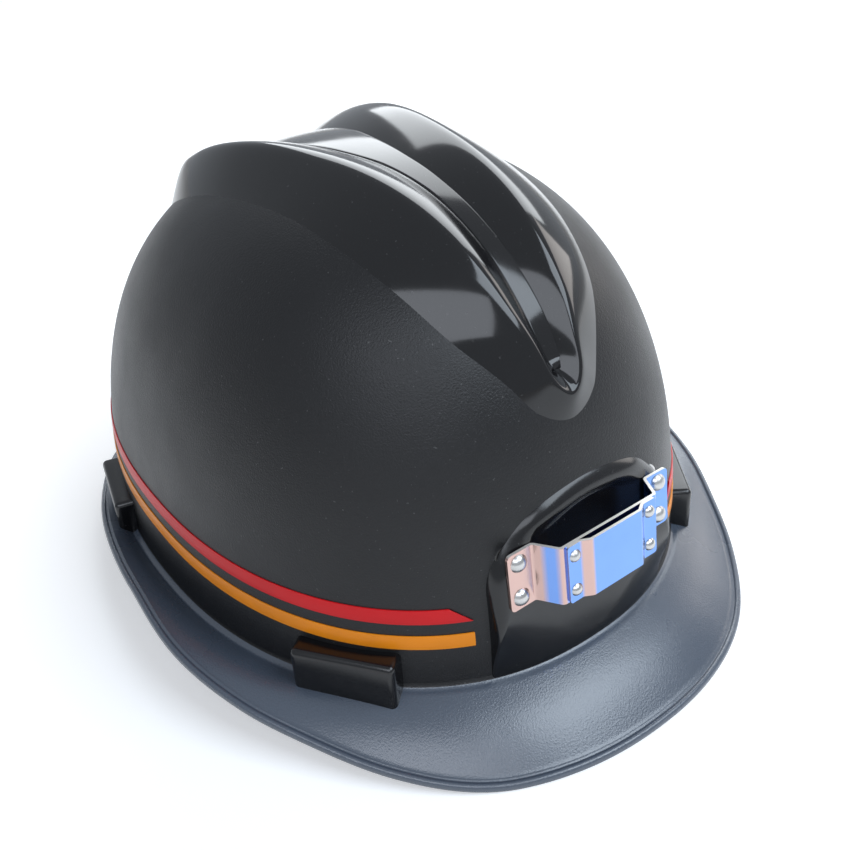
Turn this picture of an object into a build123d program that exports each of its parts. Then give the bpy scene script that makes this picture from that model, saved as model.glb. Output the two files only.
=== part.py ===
from build123d import *
import os
from math import atan2, copysign, cos, degrees, hypot, radians, sin, sqrt

# Miner helmet, in millimetres. +Z is up, the peak points to -Y and the wearer's left is +X.
# The origin is under the middle of the whole helmet, on the surface that its brim rests on.

# Shell: the dome
dome_half_width = 95.0
dome_front = 118.0
dome_rear = 129.8
dome_rise = 139.3
foot_height = 17.2
crown_shift = 10.6
shell_wall = 2.5
plan_power = 2.25
profile_power = 2.33
plan_steps = 20
dome_rises = (0, 11, 22, 33, 44, 55, 66, 77, 88)

# Shell: the brim
visor_reach = 29.8
neck_reach = 17.0
brim_wall = 2.6
brim_flare = 3.0
bead_width = 3.2
bead_rise = 0.7
side_lift = 20.7
arch_end_share = 0.93
arch_power = 1.3
brim_turns = (-90, -78, -65, -52, -40, -28, -15, 0, 15, 32, 50, 70, 90)
visor_shares = (1, 0.985, 0.935, 0.81, 0.72, 0.725, 0.70, 0.54, 0.37, 0.23, 0.16, 0.07, 0)
neck_shares = (0, 0, 0, 0, 0, 0, 0, 0, 0.08, 0.18, 0.42, 0.78, 1)

# Shell: the raised V, as plan points of each ridge's two edges from the peak's side to the back
ridge_rise = 7.6
ridge_root = 7.0
ridge_sink = 1.6
ridge_plan_width = 89.0
ridge_plan_length = 107.0
inner_edge_shares = ((0, -0.935), (0.018, -0.915), (0.025, -0.870), (0.025, -0.785), (0.023, -0.617),
                     (0.026, -0.43), (0.042, -0.234), (0.084, 0), (0.134, 0.234), (0.170, 0.467),
                     (0.195, 0.636), (0.225, 0.76))
outer_edge_shares = ((0, -1), (0.107, -0.985), (0.185, -0.944), (0.330, -0.804), (0.412, -0.617),
                     (0.452, -0.43), (0.468, -0.234), (0.483, 0), (0.5, 0.234), (0.498, 0.467),
                     (0.47, 0.617), (0.43, 0.73))
ridge_rise_shares = (0.42, 0.46, 0.50, 0.56, 0.62, 0.68, 0.76, 0.9, 1, 1, 0.86, -0.1)
crest_place_shares = (0.5, 0.42, 0.34, 0.30, 0.32, 0.37, 0.42, 0.47, 0.5, 0.5, 0.5, 0.5)
crest_half_share = 0.16

# Shell: the lamp panel and the cord pad
panel_half_width = 37.5
panel_set_back = 3.0
panel_height = 57.0
panel_lean = 5.7
panel_spring = 52.0
panel_arch_rise = 29.5
panel_low = 15.0
panel_depth = 20.0
panel_round = 3.5
panel_wall = 4.0
pad_width = 54.0
pad_tall = 24.0
pad_height = 52.0
pad_set_back = 0.2
pad_lean = 9.0
pad_depth = 8.0
pad_round = 1.5
pad_wall = 3.6

# Shell: the harness pockets, front and rear
pocket_width = 34.5
pocket_stand = 6.0
pocket_sink = 2.0
pocket_low = 12.6
pocket_round = 1.2
pocket_roof = 2.4
front_pocket_turn = -42.5
rear_pocket_turn = 20.8
front_pocket_top = 32.5
rear_pocket_top = 31.5

# Harness keys, which plug into the pockets
key_wall = 2.2
key_bend = 0.6
key_width = 25.0
key_low = 9.4
tongue_width = 28.6
tongue_face = 2.6
tongue_short = 1.6
pocket_clearance = 0.3
wall_gap = 1.3
shelf_height = 30.0
strap_face = 9.8
post_height = 38.5
post_radius = 2.5
post_clearance = 0.5
button_radius = 3.6
button_wall = 1.4
bar_low = 46.0
bar_rise = 3.0
strap_hole_rise = 3.7
ear_gap = 1.0

# Webbing straps and the crown pad
strap_width = 19.0
strap_wall = 1.2
strap_clearance = 0.3
strap_crossing = 8.0
strap_crown_room = 37.5
strap_power = 2.2
strap_steps = 6
ring_room_half = 1.4
ring_wall = 1.7
ring_width = 19.6
strap_nudge = 2.0
ring_room_rise = 3.6
strap_bow_share = 0.42
strap_room = 0.5
crown_pad_radius = 31.0
crown_pad_wall = 5.0
crown_pad_drop = 3.6
crown_pad_round = 2.2
soft_gap = 0.35

# Headband, with its room inside the dome's outline
band_side_room = 13.0
band_front_room = 21.0
band_rear_room = 25.8
band_wall = 1.6
band_low = 5.0
band_rise = 25.0
band_end_turn = 42.0
ear_width = 15.0
ear_top = 44.0
ear_round = 3.0
chin_hole_radius = 2.5
chin_hole_height = 12.0
chin_hole_spacing = 14.0
sweat_wall = 4.3
sweat_turn = 68.0
sweat_low = 3.0
sweat_rise = 31.0
sweat_round = 1.9

# Rear arms and their racks
layer_gap = 0.3
arm_wall = 1.6
arm_low = 6.0
arm_rise = 20.0
arm_room = 1.0
arm_tip_turn = 24.0
arm_root_turn = 76.0
window_turn = 21.0
stud_turns = (65.0, 72.0)
stud_radius = 1.7
stud_head_radius = 3.2
stud_head_wall = 0.9
stud_clearance = 0.12
stud_fit = 0.05
slot_clearance = 0.25
knob_travel = 300.0
rack_addendum = 0.75
rack_dedendum = 1.1
rack_root_half_share = 0.34
rack_tip_half_share = 0.19
rack_half_count = 8
tooth_inset = 0.05

# Ratchet at the nape
pinion_height = 16.0
pinion_teeth = 8
pitch_radius = 4.5
gear_root = 3.3
gear_tip = 5.3
gear_root_width = 1.5
gear_tip_width = 0.76
left_arm_gap = 0.1
stem_radius = 3.0
journal_radius = 2.0
shaft_clearance = 0.06
press_clearance = 0.02
housing_turn = 30.0
housing_wall = 2.2
flange_wall = 2.0
cover_edge_gap = 0.05
nape_wall = 7.0
nape_turn = 33.0
nape_low = 4.0
nape_rise = 24.0
nape_round = 2.8
spring_boss_side = 8.6
spring_boss_rise = 2.7
spring_wall = 1.6
spring_hub_radius = 7.0
spring_seat = 0.7
spring_arm_width = 1.8
spring_reach = 11.5
spring_arms = 4
knob_radius = 15.0
knob_depth = 10.5
knob_gap = 0.5
knob_room_radius = 11.9
knob_room_depth = 4.2
knob_round = 1.0
detent_radius = 0.9
detent_count = 24
flute_radius = 2.2
flute_count = 12
flute_stand = 1.3
stem_end_gap = 0.4
stem_square = 4.2
journal_end_gap = 0.2
knob_web = 1.5
screw_head_radius = 3.2
screw_head_wall = 1.6
screw_radius = 1.4
screw_length = 6.0
screw_slot = 0.8

# Lamp bracket, measured out from the panel
bracket_tall = 20.2
bracket_wall = 1.0
bracket_bend = 0.9
bracket_corner = 1.6
flange_end = 33.7
flange_bend = 23.6
bridge_bend = 19.4
bridge_stand = 8.0
plate_end = 18.4
plate_step = 12.9
plate_face = 10.1
plate_stand = 1.8
big_rivet_spacing = 59.0
small_rivet_spacing = 31.2
rivet_pair_spacing = 12.2
big_rivet_radius = 3.0
big_rivet_rise = 1.9
small_rivet_radius = 2.1
small_rivet_rise = 1.3
big_shank = 1.6
small_shank = 1.1
rivet_clearance = 0.05
rivet_tail_rise = 0.9
washer_radius = 4.4
washer_wall = 0.8
spot_face_radius = 5.0

# Cord clip at the back, measured out from its pad
clip_tall = 14.0
clip_end = 24.0
clip_loop_half = 6.8
clip_loop_rise = 10.5
clip_loop_bend = 5.0
clip_rivet_spacing = 35.0
clip_rivet_radius = 2.6

# Tapes round the sides
tape_wall = 0.4
tape_gap = 0.12
tape_width = 5.2
tape_front_height = 36.0
tape_spacing = 9.8
tape_lean = 2.0
tape_front_end = 42.0
tape_rear_end = 40.0
tape_slant = 6.0

# Common values
overrun = 1.0
correction_rounds = 14
half_turn = 180.0
full_turn = 360.0
quarter_turn = 90.0

# Places that follow from the sizes above
dome_mid = (dome_front + visor_reach - dome_rear - neck_reach) / 2
panel_reach = dome_front - panel_set_back
pad_reach = dome_rear - pad_set_back
strap_top = foot_height + dome_rise - strap_crown_room
band_radius = dome_half_width - band_side_room
front_arc_back = band_radius + band_front_room - dome_front
rear_arc_back = dome_rear - band_rear_room - band_radius
left_arm_in = band_radius + layer_gap
left_arm_mid = left_arm_in + arm_wall / 2
right_arm_in = left_arm_in + arm_wall + layer_gap
housing_in = right_arm_in + arm_wall + layer_gap
housing_out = housing_in + housing_wall
left_arm_swing = knob_travel * pitch_radius / left_arm_mid
strap_inset = strap_face - key_wall / 2 + ring_room_half + ring_wall / 2
strap_low = bar_low + bar_rise / 2
big_rivet_places = [(side * big_rivet_spacing / 2, rise * rivet_pair_spacing / 2)
                    for side in (-1, 1) for rise in (-1, 1)]
small_rivet_places = [(side * small_rivet_spacing / 2, rise * rivet_pair_spacing / 2)
                      for side in (-1, 1) for rise in (-1, 1)]
clip_rivet_places = [(side * clip_rivet_spacing / 2, 0) for side in (-1, 1)]


def level(height, along=0.0):
    """Flat plane at a height, its origin moved along the helmet from the dome's middle."""
    return Plane(origin=(0, dome_mid + along, height))


def upright(across, along, heading):
    """Vertical plane through a plan point, its X along a heading in degrees and its Y up."""
    run, climb = cos(radians(heading)), sin(radians(heading))
    return Plane(origin=(across, dome_mid + along, 0), x_dir=(run, climb, 0), z_dir=(climb, -run, 0))


def facing(across, along, height, heading):
    """Vertical plane at a point whose normal runs along a heading, with its Y up."""
    run, climb = cos(radians(heading)), sin(radians(heading))
    return Plane(origin=(across, dome_mid + along, height), x_dir=(-climb, run, 0), z_dir=(run, climb, 0))


def signed_power(value, power):
    return copysign(abs(value) ** power, value)


def outline_point(turn, half_width, front, rear):
    """Point of the dome's rounded plan outline, turned from +X towards +Y."""
    length = rear if sin(radians(turn)) > 0 else front
    across = half_width * signed_power(cos(radians(turn)), 2 / plan_power)
    return across, length * signed_power(sin(radians(turn)), 2 / plan_power)


def wall_station(turn):
    """Plan point on the dome's foot, and the heading of the outward normal there."""
    across, along = outline_point(turn, dome_half_width, dome_front, dome_rear)
    length = dome_rear if along > 0 else dome_front
    run = signed_power(across / dome_half_width, plan_power - 1) / dome_half_width
    climb = signed_power(along / length, plan_power - 1) / length
    return across, along, degrees(atan2(climb, run))


def dome_height_at(across, along):
    """Height of the dome's outside over a plan point, corrected in rounds for the crown's shift."""
    share = 0.0
    for _ in range(correction_rounds):
        shifted = along + crown_shift * share**2
        length = dome_rear if shifted > 0 else dome_front
        reach = abs(across / dome_half_width) ** plan_power + abs(shifted / length) ** plan_power
        share = (1 - min(reach, 1) ** (profile_power / plan_power)) ** (1 / profile_power)
    return foot_height + dome_rise * share


def dome_body(grow, skirt):
    """Closed dome, its sizes grown all round, with a straight skirt below its foot."""
    with BuildPart() as body:
        for rise in dome_rises:
            height_share = sin(radians(rise)) ** (2 / profile_power)
            reach_share = cos(radians(rise)) ** (2 / profile_power)
            points = []
            for step in range(plan_steps):
                turn = full_turn * step / plan_steps
                across, along = outline_point(
                    turn, dome_half_width + grow, dome_front + grow, dome_rear + grow)
                points.append((across * reach_share, along * reach_share - crown_shift * height_share**2))
            with BuildSketch(level(foot_height + (dome_rise + grow) * height_share)) as section:
                with BuildLine():
                    Spline(*points, periodic=True)
                make_face()
            if rise == 0:
                foot = section.sketch
        loft()
        extrude(foot, amount=-skirt)
    return body.part


def bent_strip(plane, points, thickness, bends):
    """Face of a folded strip: points run along one side, the strip lies to their left."""
    last = len(points) - 1
    headings = [atan2(b[1] - a[1], b[0] - a[0]) for a, b in zip(points[:last], points[1:])]
    other_side, near_radii, far_radii = [], [], []
    for index, (x, y) in enumerate(points):
        before = headings[max(index - 1, 0)]
        after = headings[min(index, last - 1)]
        middle, half = (before + after) / 2, (after - before) / 2
        reach = thickness / cos(half)
        other_side.append((x - reach * sin(middle), y + reach * cos(middle)))
        if 0 < index < last:
            bend = bends[index - 1]
            near_radii.append(bend + thickness if half > 0 else bend)
            far_radii.append(bend if half > 0 else bend + thickness)
    with BuildSketch(plane) as strip:
        with BuildLine():
            near = FilletPolyline(*points, radius=near_radii)
            far = FilletPolyline(*other_side, radius=far_radii)
            Line(near @ 0, far @ 0)
            Line(near @ 1, far @ 1)
        make_face()
    return strip.sketch


def profile_plane(frame, place=(0, 0)):
    """Plane square to a face frame at a place on it, with its Y pointing out of the face."""
    origin = frame.from_local_coords((place[0], place[1], 0))
    return Plane(origin=origin, x_dir=frame.x_dir, z_dir=-frame.y_dir)


def rivet(frame, place, seat, grip, head, rise, shank):
    """Domed rivet: its head sits at a height over the frame, its tail closes a grip below the head."""
    plane = profile_plane(frame, place)
    low = seat - grip
    with BuildPart() as body:
        with BuildSketch(plane):
            with BuildLine():
                TangentArc((0, seat + rise), (head, seat), tangent=(1, 0))
                Polyline((head, seat), (shank, seat), (shank, low), (head, low))
                TangentArc((0, low - rivet_tail_rise), (head, low), tangent=(1, 0))
                Line((0, seat + rise), (0, low - rivet_tail_rise))
            make_face()
        revolve(axis=Axis(plane.origin, plane.y_dir), revolution_arc=full_turn)
    return body.part


def ring_sector(inner, outer, low, high, start, end, arc_back):
    """Sector of an upright ring between two headings, round one of the headband's arc centres."""
    with BuildPart() as body:
        with BuildSketch(upright(0, arc_back, start)):
            with Locations(((inner + outer) / 2, (low + high) / 2)):
                Rectangle(outer - inner, high - low)
        revolve(axis=Axis((0, dome_mid + arc_back, 0), (0, 0, 1)), revolution_arc=end - start)
    return body.part


def band_reach(station, arc_back):
    """Distance from a wall station, straight in, to the headband's outer face."""
    across, along, heading = station
    back = along - arc_back
    toward = across * cos(radians(heading)) + back * sin(radians(heading))
    return toward - sqrt(toward**2 - across**2 - back**2 + band_radius**2)


# Stations of the four pockets, with the arc of the headband that faces each
front_station = wall_station(front_pocket_turn)
rear_station = wall_station(rear_pocket_turn)
front_reach = band_reach(front_station, front_arc_back)
rear_reach = band_reach(rear_station, rear_arc_back)
pockets = {
    "front": (front_station, front_pocket_top, front_reach),
    "rear": (rear_station, rear_pocket_top, rear_reach),
}

# Face frames of the lamp panel and the cord pad: X across, Y up the face, Z out of it
lamp_frame = Plane(
    origin=(0, dome_mid - panel_reach, panel_height),
    x_dir=(1, 0, 0),
    z_dir=(0, -cos(radians(panel_lean)), sin(radians(panel_lean))),
)
clip_frame = Plane(
    origin=(0, dome_mid + pad_reach, pad_height),
    x_dir=(-1, 0, 0),
    z_dir=(0, cos(radians(pad_lean)), sin(radians(pad_lean))),
)

# Shell: outer and inner dome
outer_dome = dome_body(0.0, brim_wall)
head_room = dome_body(-shell_wall, foot_height + overrun)

# Shell: half of the brim, lofted from the peak round the wearer's left to the neck
with BuildPart() as brim_half:
    for turn, visor_share, neck_share in zip(brim_turns, visor_shares, neck_shares):
        across, along, heading = wall_station(turn)
        reach = visor_reach * visor_share + neck_reach * neck_share
        arch_share = max(0, 1 - (sin(radians(turn)) / arch_end_share) ** 2) ** arch_power
        edge = side_lift * arch_share
        with BuildSketch(upright(across, along, heading)):
            with BuildLine():
                Polyline(
                    (-shell_wall / 2, foot_height + brim_flare),
                    (brim_flare, foot_height),
                    (reach - bead_width, edge + brim_wall),
                    (reach - bead_width, edge + brim_wall + bead_rise),
                    (reach, edge + brim_wall),
                    (reach, edge),
                    (reach - bead_width, edge),
                    (0, foot_height - brim_wall),
                    (-shell_wall / 2, foot_height - brim_wall),
                    close=True,
                )
            make_face()
    loft()

# Shell: half of the raised V, lofted through upright sections from its tip to the back
with BuildPart() as ridge_half:
    for inner, outer, rise_share, place_share in zip(
            inner_edge_shares, outer_edge_shares, ridge_rise_shares, crest_place_shares):
        start = (inner[0] * ridge_plan_width, inner[1] * ridge_plan_length)
        end = (outer[0] * ridge_plan_width, outer[1] * ridge_plan_length)
        span = hypot(end[0] - start[0], end[1] - start[1])
        rise = ridge_rise * rise_share

        def over_dome(share, lift):
            """Section point over the dome: a share of the way across, lifted square to it."""
            near, here, far = [
                dome_height_at(start[0] + (end[0] - start[0]) * s, start[1] + (end[1] - start[1]) * s)
                for s in (share - crest_half_share, share, share + crest_half_share)
            ]
            slope = (far - near) / (2 * crest_half_share * span)
            tilt = sqrt(1 + slope**2)
            return span * share - lift * slope / tilt, here + lift / tilt

        with BuildSketch(upright(*start, degrees(atan2(end[1] - start[1], end[0] - start[0])))):
            with BuildLine():
                crest = Spline(
                    over_dome(0, -ridge_sink),
                    over_dome(place_share - crest_half_share, rise),
                    over_dome(place_share + crest_half_share, rise),
                    over_dome(1, -ridge_sink),
                )
                Polyline(crest @ 1, over_dome(1, -ridge_root), over_dome(0, -ridge_root), crest @ 0)
            make_face()
    loft()

# Shell: flat lamp panel with an arched top
with BuildPart() as lamp_panel:
    with BuildSketch(lamp_frame):
        with Locations((0, (panel_low + panel_spring) / 2 - panel_height)):
            Rectangle(2 * panel_half_width, panel_spring - panel_low)
        with Locations((0, panel_spring - panel_height)):
            Ellipse(panel_half_width, panel_arch_rise)
    extrude(amount=-panel_depth)
    fillet(lamp_panel.faces().sort_by(Axis(lamp_frame.origin, lamp_frame.z_dir))[-1].edges(), panel_round)

# Shell: the room in front of the panel, which trims the dome flat
with BuildPart() as panel_room:
    with BuildSketch(lamp_frame):
        with Locations((0, (panel_low + foot_height + panel_spring) / 2 - panel_height)):
            Rectangle(2 * (panel_half_width - panel_round), panel_spring - foot_height)
        with Locations((0, panel_spring - panel_height)):
            Ellipse(panel_half_width - panel_round, panel_arch_rise - panel_round)
        with Locations((0, foot_height - panel_height)):
            Rectangle(2 * panel_half_width, 2 * brim_flare, mode=Mode.SUBTRACT)
    extrude(amount=panel_round)

# Shell: pad for the cord clip
with BuildPart() as cord_pad:
    with BuildSketch(clip_frame):
        RectangleRounded(pad_width, pad_tall, pad_tall / 3)
    extrude(amount=-pad_depth)
    fillet(cord_pad.faces().sort_by(Axis(clip_frame.origin, clip_frame.z_dir))[-1].edges(), pad_round)

# Shell: harness pockets of the wearer's left side
with BuildPart() as left_pockets:
    for station, top, reach in pockets.values():
        with BuildSketch(upright(*station)):
            with Locations(((pocket_stand - pocket_sink) / 2, (pocket_low + top) / 2)):
                Rectangle(pocket_stand + pocket_sink, top - pocket_low)
        extrude(amount=pocket_width / 2, both=True)
    fillet(left_pockets.edges().filter_by(Axis.Z), pocket_round)
    fillet(left_pockets.faces().filter_by(Axis.Z).group_by(Axis.Z)[1].edges(), pocket_round)
    fillet(left_pockets.faces().filter_by(Axis.Z).group_by(Axis.Z)[-1].edges(), pocket_round)

# Shell: slots of those pockets, open below
with BuildPart() as left_slots:
    for station, top, reach in pockets.values():
        slot_low, slot_high = key_low - overrun, top - pocket_roof
        slot_face = tongue_face + pocket_clearance
        slot_back = tongue_face - key_wall - pocket_clearance
        with BuildSketch(upright(*station)):
            with Locations(((slot_face + slot_back) / 2, (slot_low + slot_high) / 2)):
                Rectangle(slot_face - slot_back, slot_high - slot_low)
        extrude(amount=tongue_width / 2 + pocket_clearance, both=True)

with BuildPart() as shell:
    add(outer_dome)
    add(brim_half.part)
    mirror(brim_half.part, about=Plane.YZ)
    add(ridge_half.part)
    mirror(ridge_half.part, about=Plane.YZ)
    add(lamp_panel.part)
    add(panel_room.part, mode=Mode.SUBTRACT)
    add(cord_pad.part)
    add(left_pockets.part)
    mirror(left_pockets.part, about=Plane.YZ)
    add(head_room, mode=Mode.SUBTRACT)
    add(left_slots.part, mode=Mode.SUBTRACT)
    mirror(left_slots.part, about=Plane.YZ, mode=Mode.SUBTRACT)
    with BuildSketch(lamp_frame):
        with Locations(*big_rivet_places):
            Circle(big_shank + rivet_clearance)
    extrude(amount=-panel_depth, mode=Mode.SUBTRACT)
    with BuildSketch(lamp_frame.offset(-panel_wall)):
        with Locations(*big_rivet_places):
            Circle(spot_face_radius)
    extrude(amount=-panel_depth, mode=Mode.SUBTRACT)
    with BuildSketch(clip_frame):
        with Locations(*clip_rivet_places):
            Circle(big_shank + rivet_clearance)
    extrude(amount=-panel_depth, mode=Mode.SUBTRACT)
    with BuildSketch(clip_frame.offset(-pad_wall)):
        with Locations(*clip_rivet_places):
            Circle(spot_face_radius)
    extrude(amount=-panel_depth, mode=Mode.SUBTRACT)

# Lamp bracket: the strip on the panel, with a bridge that stands clear of it
with BuildPart() as bracket_base:
    strip = bent_strip(
        profile_plane(lamp_frame),
        [(-flange_end, 0), (-flange_bend, 0), (-bridge_bend, bridge_stand),
         (bridge_bend, bridge_stand), (flange_bend, 0), (flange_end, 0)],
        bracket_wall, [bracket_bend] * 4)
    extrude(strip, amount=bracket_tall / 2, both=True)
    with BuildSketch(lamp_frame):
        with Locations(*big_rivet_places):
            Circle(big_shank + rivet_clearance)
        with Locations(*small_rivet_places):
            Circle(small_shank + rivet_clearance)
    extrude(amount=bridge_stand + bracket_wall + overrun, mode=Mode.SUBTRACT)
    fillet(bracket_base.edges().filter_by(Axis(lamp_frame.origin, lamp_frame.z_dir)), bracket_corner)

# Lamp bracket: the plate on the bridge, which steps out to leave the lamp's slot
with BuildPart() as bracket_plate:
    bridge_face = bridge_stand + bracket_wall
    strip = bent_strip(
        profile_plane(lamp_frame),
        [(-plate_end, bridge_face), (-plate_step, bridge_face), (-plate_face, bridge_face + plate_stand),
         (plate_face, bridge_face + plate_stand), (plate_step, bridge_face), (plate_end, bridge_face)],
        bracket_wall, [bracket_bend] * 4)
    extrude(strip, amount=bracket_tall / 2, both=True)
    with BuildSketch(lamp_frame.offset(bridge_face)):
        with Locations(*small_rivet_places):
            Circle(small_shank + rivet_clearance)
    extrude(amount=bracket_wall + overrun, mode=Mode.SUBTRACT)
    fillet(bracket_plate.edges().filter_by(Axis(lamp_frame.origin, lamp_frame.z_dir)), bracket_wall)

with BuildPart() as bracket_rivets:
    for place in big_rivet_places:
        add(rivet(lamp_frame, place, bracket_wall, bracket_wall + panel_wall + washer_wall,
                  big_rivet_radius, big_rivet_rise, big_shank))

with BuildPart() as plate_rivets:
    for place in small_rivet_places:
        add(rivet(lamp_frame, place, bridge_face + bracket_wall, 2 * bracket_wall,
                  small_rivet_radius, small_rivet_rise, small_shank))

with BuildPart() as bracket_washers:
    with BuildSketch(lamp_frame.offset(-panel_wall)):
        with Locations(*big_rivet_places):
            Circle(washer_radius)
            Circle(big_shank + rivet_clearance, mode=Mode.SUBTRACT)
    extrude(amount=-washer_wall)

# Cord clip: a strip with a round loop for the lamp's cord
with BuildPart() as cord_clip:
    strip = bent_strip(
        profile_plane(clip_frame),
        [(-clip_end, 0), (-clip_loop_half, 0), (-clip_loop_half, clip_loop_rise),
         (clip_loop_half, clip_loop_rise), (clip_loop_half, 0), (clip_end, 0)],
        bracket_wall, [bracket_bend, clip_loop_bend, clip_loop_bend, bracket_bend])
    extrude(strip, amount=clip_tall / 2, both=True)
    with BuildSketch(clip_frame):
        with Locations(*clip_rivet_places):
            Circle(big_shank + rivet_clearance)
    extrude(amount=bracket_wall + overrun, mode=Mode.SUBTRACT)
    fillet(cord_clip.edges().filter_by(Axis(clip_frame.origin, clip_frame.z_dir))
           .group_by(SortBy.LENGTH)[0], bracket_corner)

with BuildPart() as clip_rivets:
    for place in clip_rivet_places:
        add(rivet(clip_frame, place, bracket_wall, bracket_wall + pad_wall + washer_wall,
                  clip_rivet_radius, small_rivet_rise, big_shank))

with BuildPart() as clip_washers:
    with BuildSketch(clip_frame.offset(-pad_wall)):
        with Locations(*clip_rivet_places):
            Circle(washer_radius)
            Circle(big_shank + rivet_clearance, mode=Mode.SUBTRACT)
    extrude(amount=-washer_wall)

# Tapes: a skin just off the dome, cut to two leaning bands on each side
with BuildPart() as tape_skin:
    add(dome_body(tape_gap + tape_wall, overrun))
    add(dome_body(tape_gap, overrun), mode=Mode.SUBTRACT)
tapes = {}
for name, lift, slant in (("orange", 0.0, 0.0), ("red", tape_spacing, tape_slant)):
    with BuildPart() as tape:
        add(tape_skin.part)
        rear_climb = (dome_front + dome_rear) * sin(radians(tape_lean))
        low = tape_front_height + lift - tape_width / 2
        with BuildSketch(Plane(origin=(0, dome_mid, 0), x_dir=(0, 1, 0), z_dir=(1, 0, 0))):
            with BuildLine():
                Polyline(
                    (-dome_front - overrun, low), (dome_rear + overrun, low + rear_climb),
                    (dome_rear + overrun, low + tape_width + rear_climb),
                    (-dome_front - overrun, low + tape_width),
                    close=True,
                )
            make_face()
        extrude(amount=dome_half_width + overrun, mode=Mode.INTERSECT)
        with BuildSketch(Plane.XZ.offset(-dome_mid)):
            with BuildLine():
                Polyline(
                    (0, 0), (tape_front_end, 0), (tape_front_end, low),
                    (tape_front_end + 2 * slant, low + 2 * tape_width), (0, low + 2 * tape_width), close=True,
                )
            make_face()
        extrude(amount=dome_front + overrun, mode=Mode.SUBTRACT)
        with BuildSketch(Plane.XZ.offset(-dome_mid)):
            with Locations((tape_rear_end / 2, (low + rear_climb + tape_width) / 2)):
                Rectangle(tape_rear_end, low + rear_climb + tape_width)
        extrude(amount=-dome_rear - overrun, mode=Mode.SUBTRACT)
    tapes[name] = tape.part


# Harness keys: each goes up into its pocket from below, and carries a post and a bar inside
def harness_key(station, top, reach):
    """Key of one pocket, with a post for the headband's ear and a bar for the strap."""
    across, along, heading = station
    riser_face = -shell_wall - wall_gap - key_wall
    tongue_top = top - pocket_roof - tongue_short
    bar_top = bar_low + bar_rise
    ear_face = reach + band_wall + ear_gap
    with BuildPart() as key:
        strip = bent_strip(
            upright(*station),
            [(-strap_face, bar_top), (-strap_face, shelf_height), (riser_face, shelf_height),
             (riser_face, key_low), (tongue_face, key_low), (tongue_face, tongue_top)],
            key_wall, [key_bend] * 4)
        extrude(strip, amount=key_width / 2, both=True)
        with BuildSketch(facing(across, along, 0, heading).offset(tongue_face)):
            with Locations((0, (pocket_low + tongue_top) / 2)):
                Rectangle(tongue_width, tongue_top - pocket_low)
        extrude(amount=-key_wall)
        fillet(key.faces().filter_by(Axis.Z).sort_by(Axis((across, dome_mid + along, 0), (0, 0, 1)))[-1]
               .edges().filter_by(Axis.Z, reverse=True).group_by(SortBy.LENGTH)[-1], key_bend)
        with BuildSketch(facing(across, along, 0, heading).offset(-strap_face)):
            with Locations((0, bar_low - strap_hole_rise / 2)):
                Rectangle(ring_width + 2 * strap_clearance, strap_hole_rise)
        extrude(amount=key_wall, mode=Mode.SUBTRACT)
        with BuildSketch(facing(across, along, post_height, heading).offset(-strap_face)):
            Circle(post_radius)
        extrude(amount=strap_face - ear_face)
        with BuildSketch(facing(across, along, post_height, heading).offset(-ear_face)):
            Circle(button_radius)
        extrude(amount=-button_wall)
    return key.part


left_keys = {name: harness_key(*pocket) for name, pocket in pockets.items()}
with BuildPart() as front_right_key:
    mirror(left_keys["front"], about=Plane.YZ)
with BuildPart() as rear_right_key:
    mirror(left_keys["rear"], about=Plane.YZ)


def strap_place(ends, turn, lift):
    """Point on the middle line of a crown strap, turned from its front end over the crown to its rear."""
    near, far = ends if turn < quarter_turn else ends[::-1]
    share = abs(cos(radians(turn))) ** (2 / strap_power)
    rise_share = signed_power(sin(radians(turn)), 2 / strap_power)
    start, heading = near
    inward = Vector(-cos(radians(heading)), -sin(radians(heading)))
    crossing = Vector(0, dome_mid - strap_crossing)
    ahead = (far[0] - start).normalized()
    pull = strap_bow_share * (crossing - start).length
    bent = start * share**3 + (start + inward * pull) * (3 * share**2 * (1 - share))
    straight = (crossing - ahead * pull) * (3 * share * (1 - share) ** 2) + crossing * (1 - share) ** 3
    height = strap_low + (strap_top + lift - strap_low) * rise_share
    return bent + straight + Vector(0, 0, height)


def crown_strap(ends, lift):
    """Webbing strap over the crown, with a sewn ring at each end round its key's bar."""
    step = quarter_turn / strap_steps
    up = Vector(0, 0, 1)
    with BuildPart() as strap:
        for index in range(2 * strap_steps + 1):
            turn = index * step
            before = strap_place(ends, turn - strap_nudge, lift)
            tangent = strap_place(ends, turn + strap_nudge, lift) - before
            ahead = Vector(tangent.X, tangent.Y)
            if index in (0, 2 * strap_steps):
                heading = ends[min(index, 1)][1]
                ahead = Vector(cos(radians(heading)), sin(radians(heading))) * (1 if index else -1)
            with BuildSketch(Plane(strap_place(ends, turn, lift), x_dir=up.cross(ahead), z_dir=tangent)):
                Rectangle(strap_width, strap_wall)
        loft()
        for start, heading in ends:
            ring_middle = strap_inset - strap_face + key_wall / 2
            run, climb = cos(radians(heading)), sin(radians(heading))
            ring_plane = Plane(
                origin=(start.X + run * ring_middle, start.Y + climb * ring_middle, strap_low),
                x_dir=(run, climb, 0), z_dir=(climb, -run, 0))
            with BuildSketch(ring_plane):
                RectangleRounded(
                    2 * (ring_room_half + ring_wall), ring_room_rise + 2 * ring_wall, ring_room_half)
            extrude(amount=ring_width / 2, both=True)
            with BuildSketch(ring_plane):
                RectangleRounded(2 * ring_room_half, ring_room_rise, ring_room_half / 2)
            extrude(amount=ring_width / 2, both=True, mode=Mode.SUBTRACT)
    return strap.part


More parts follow.
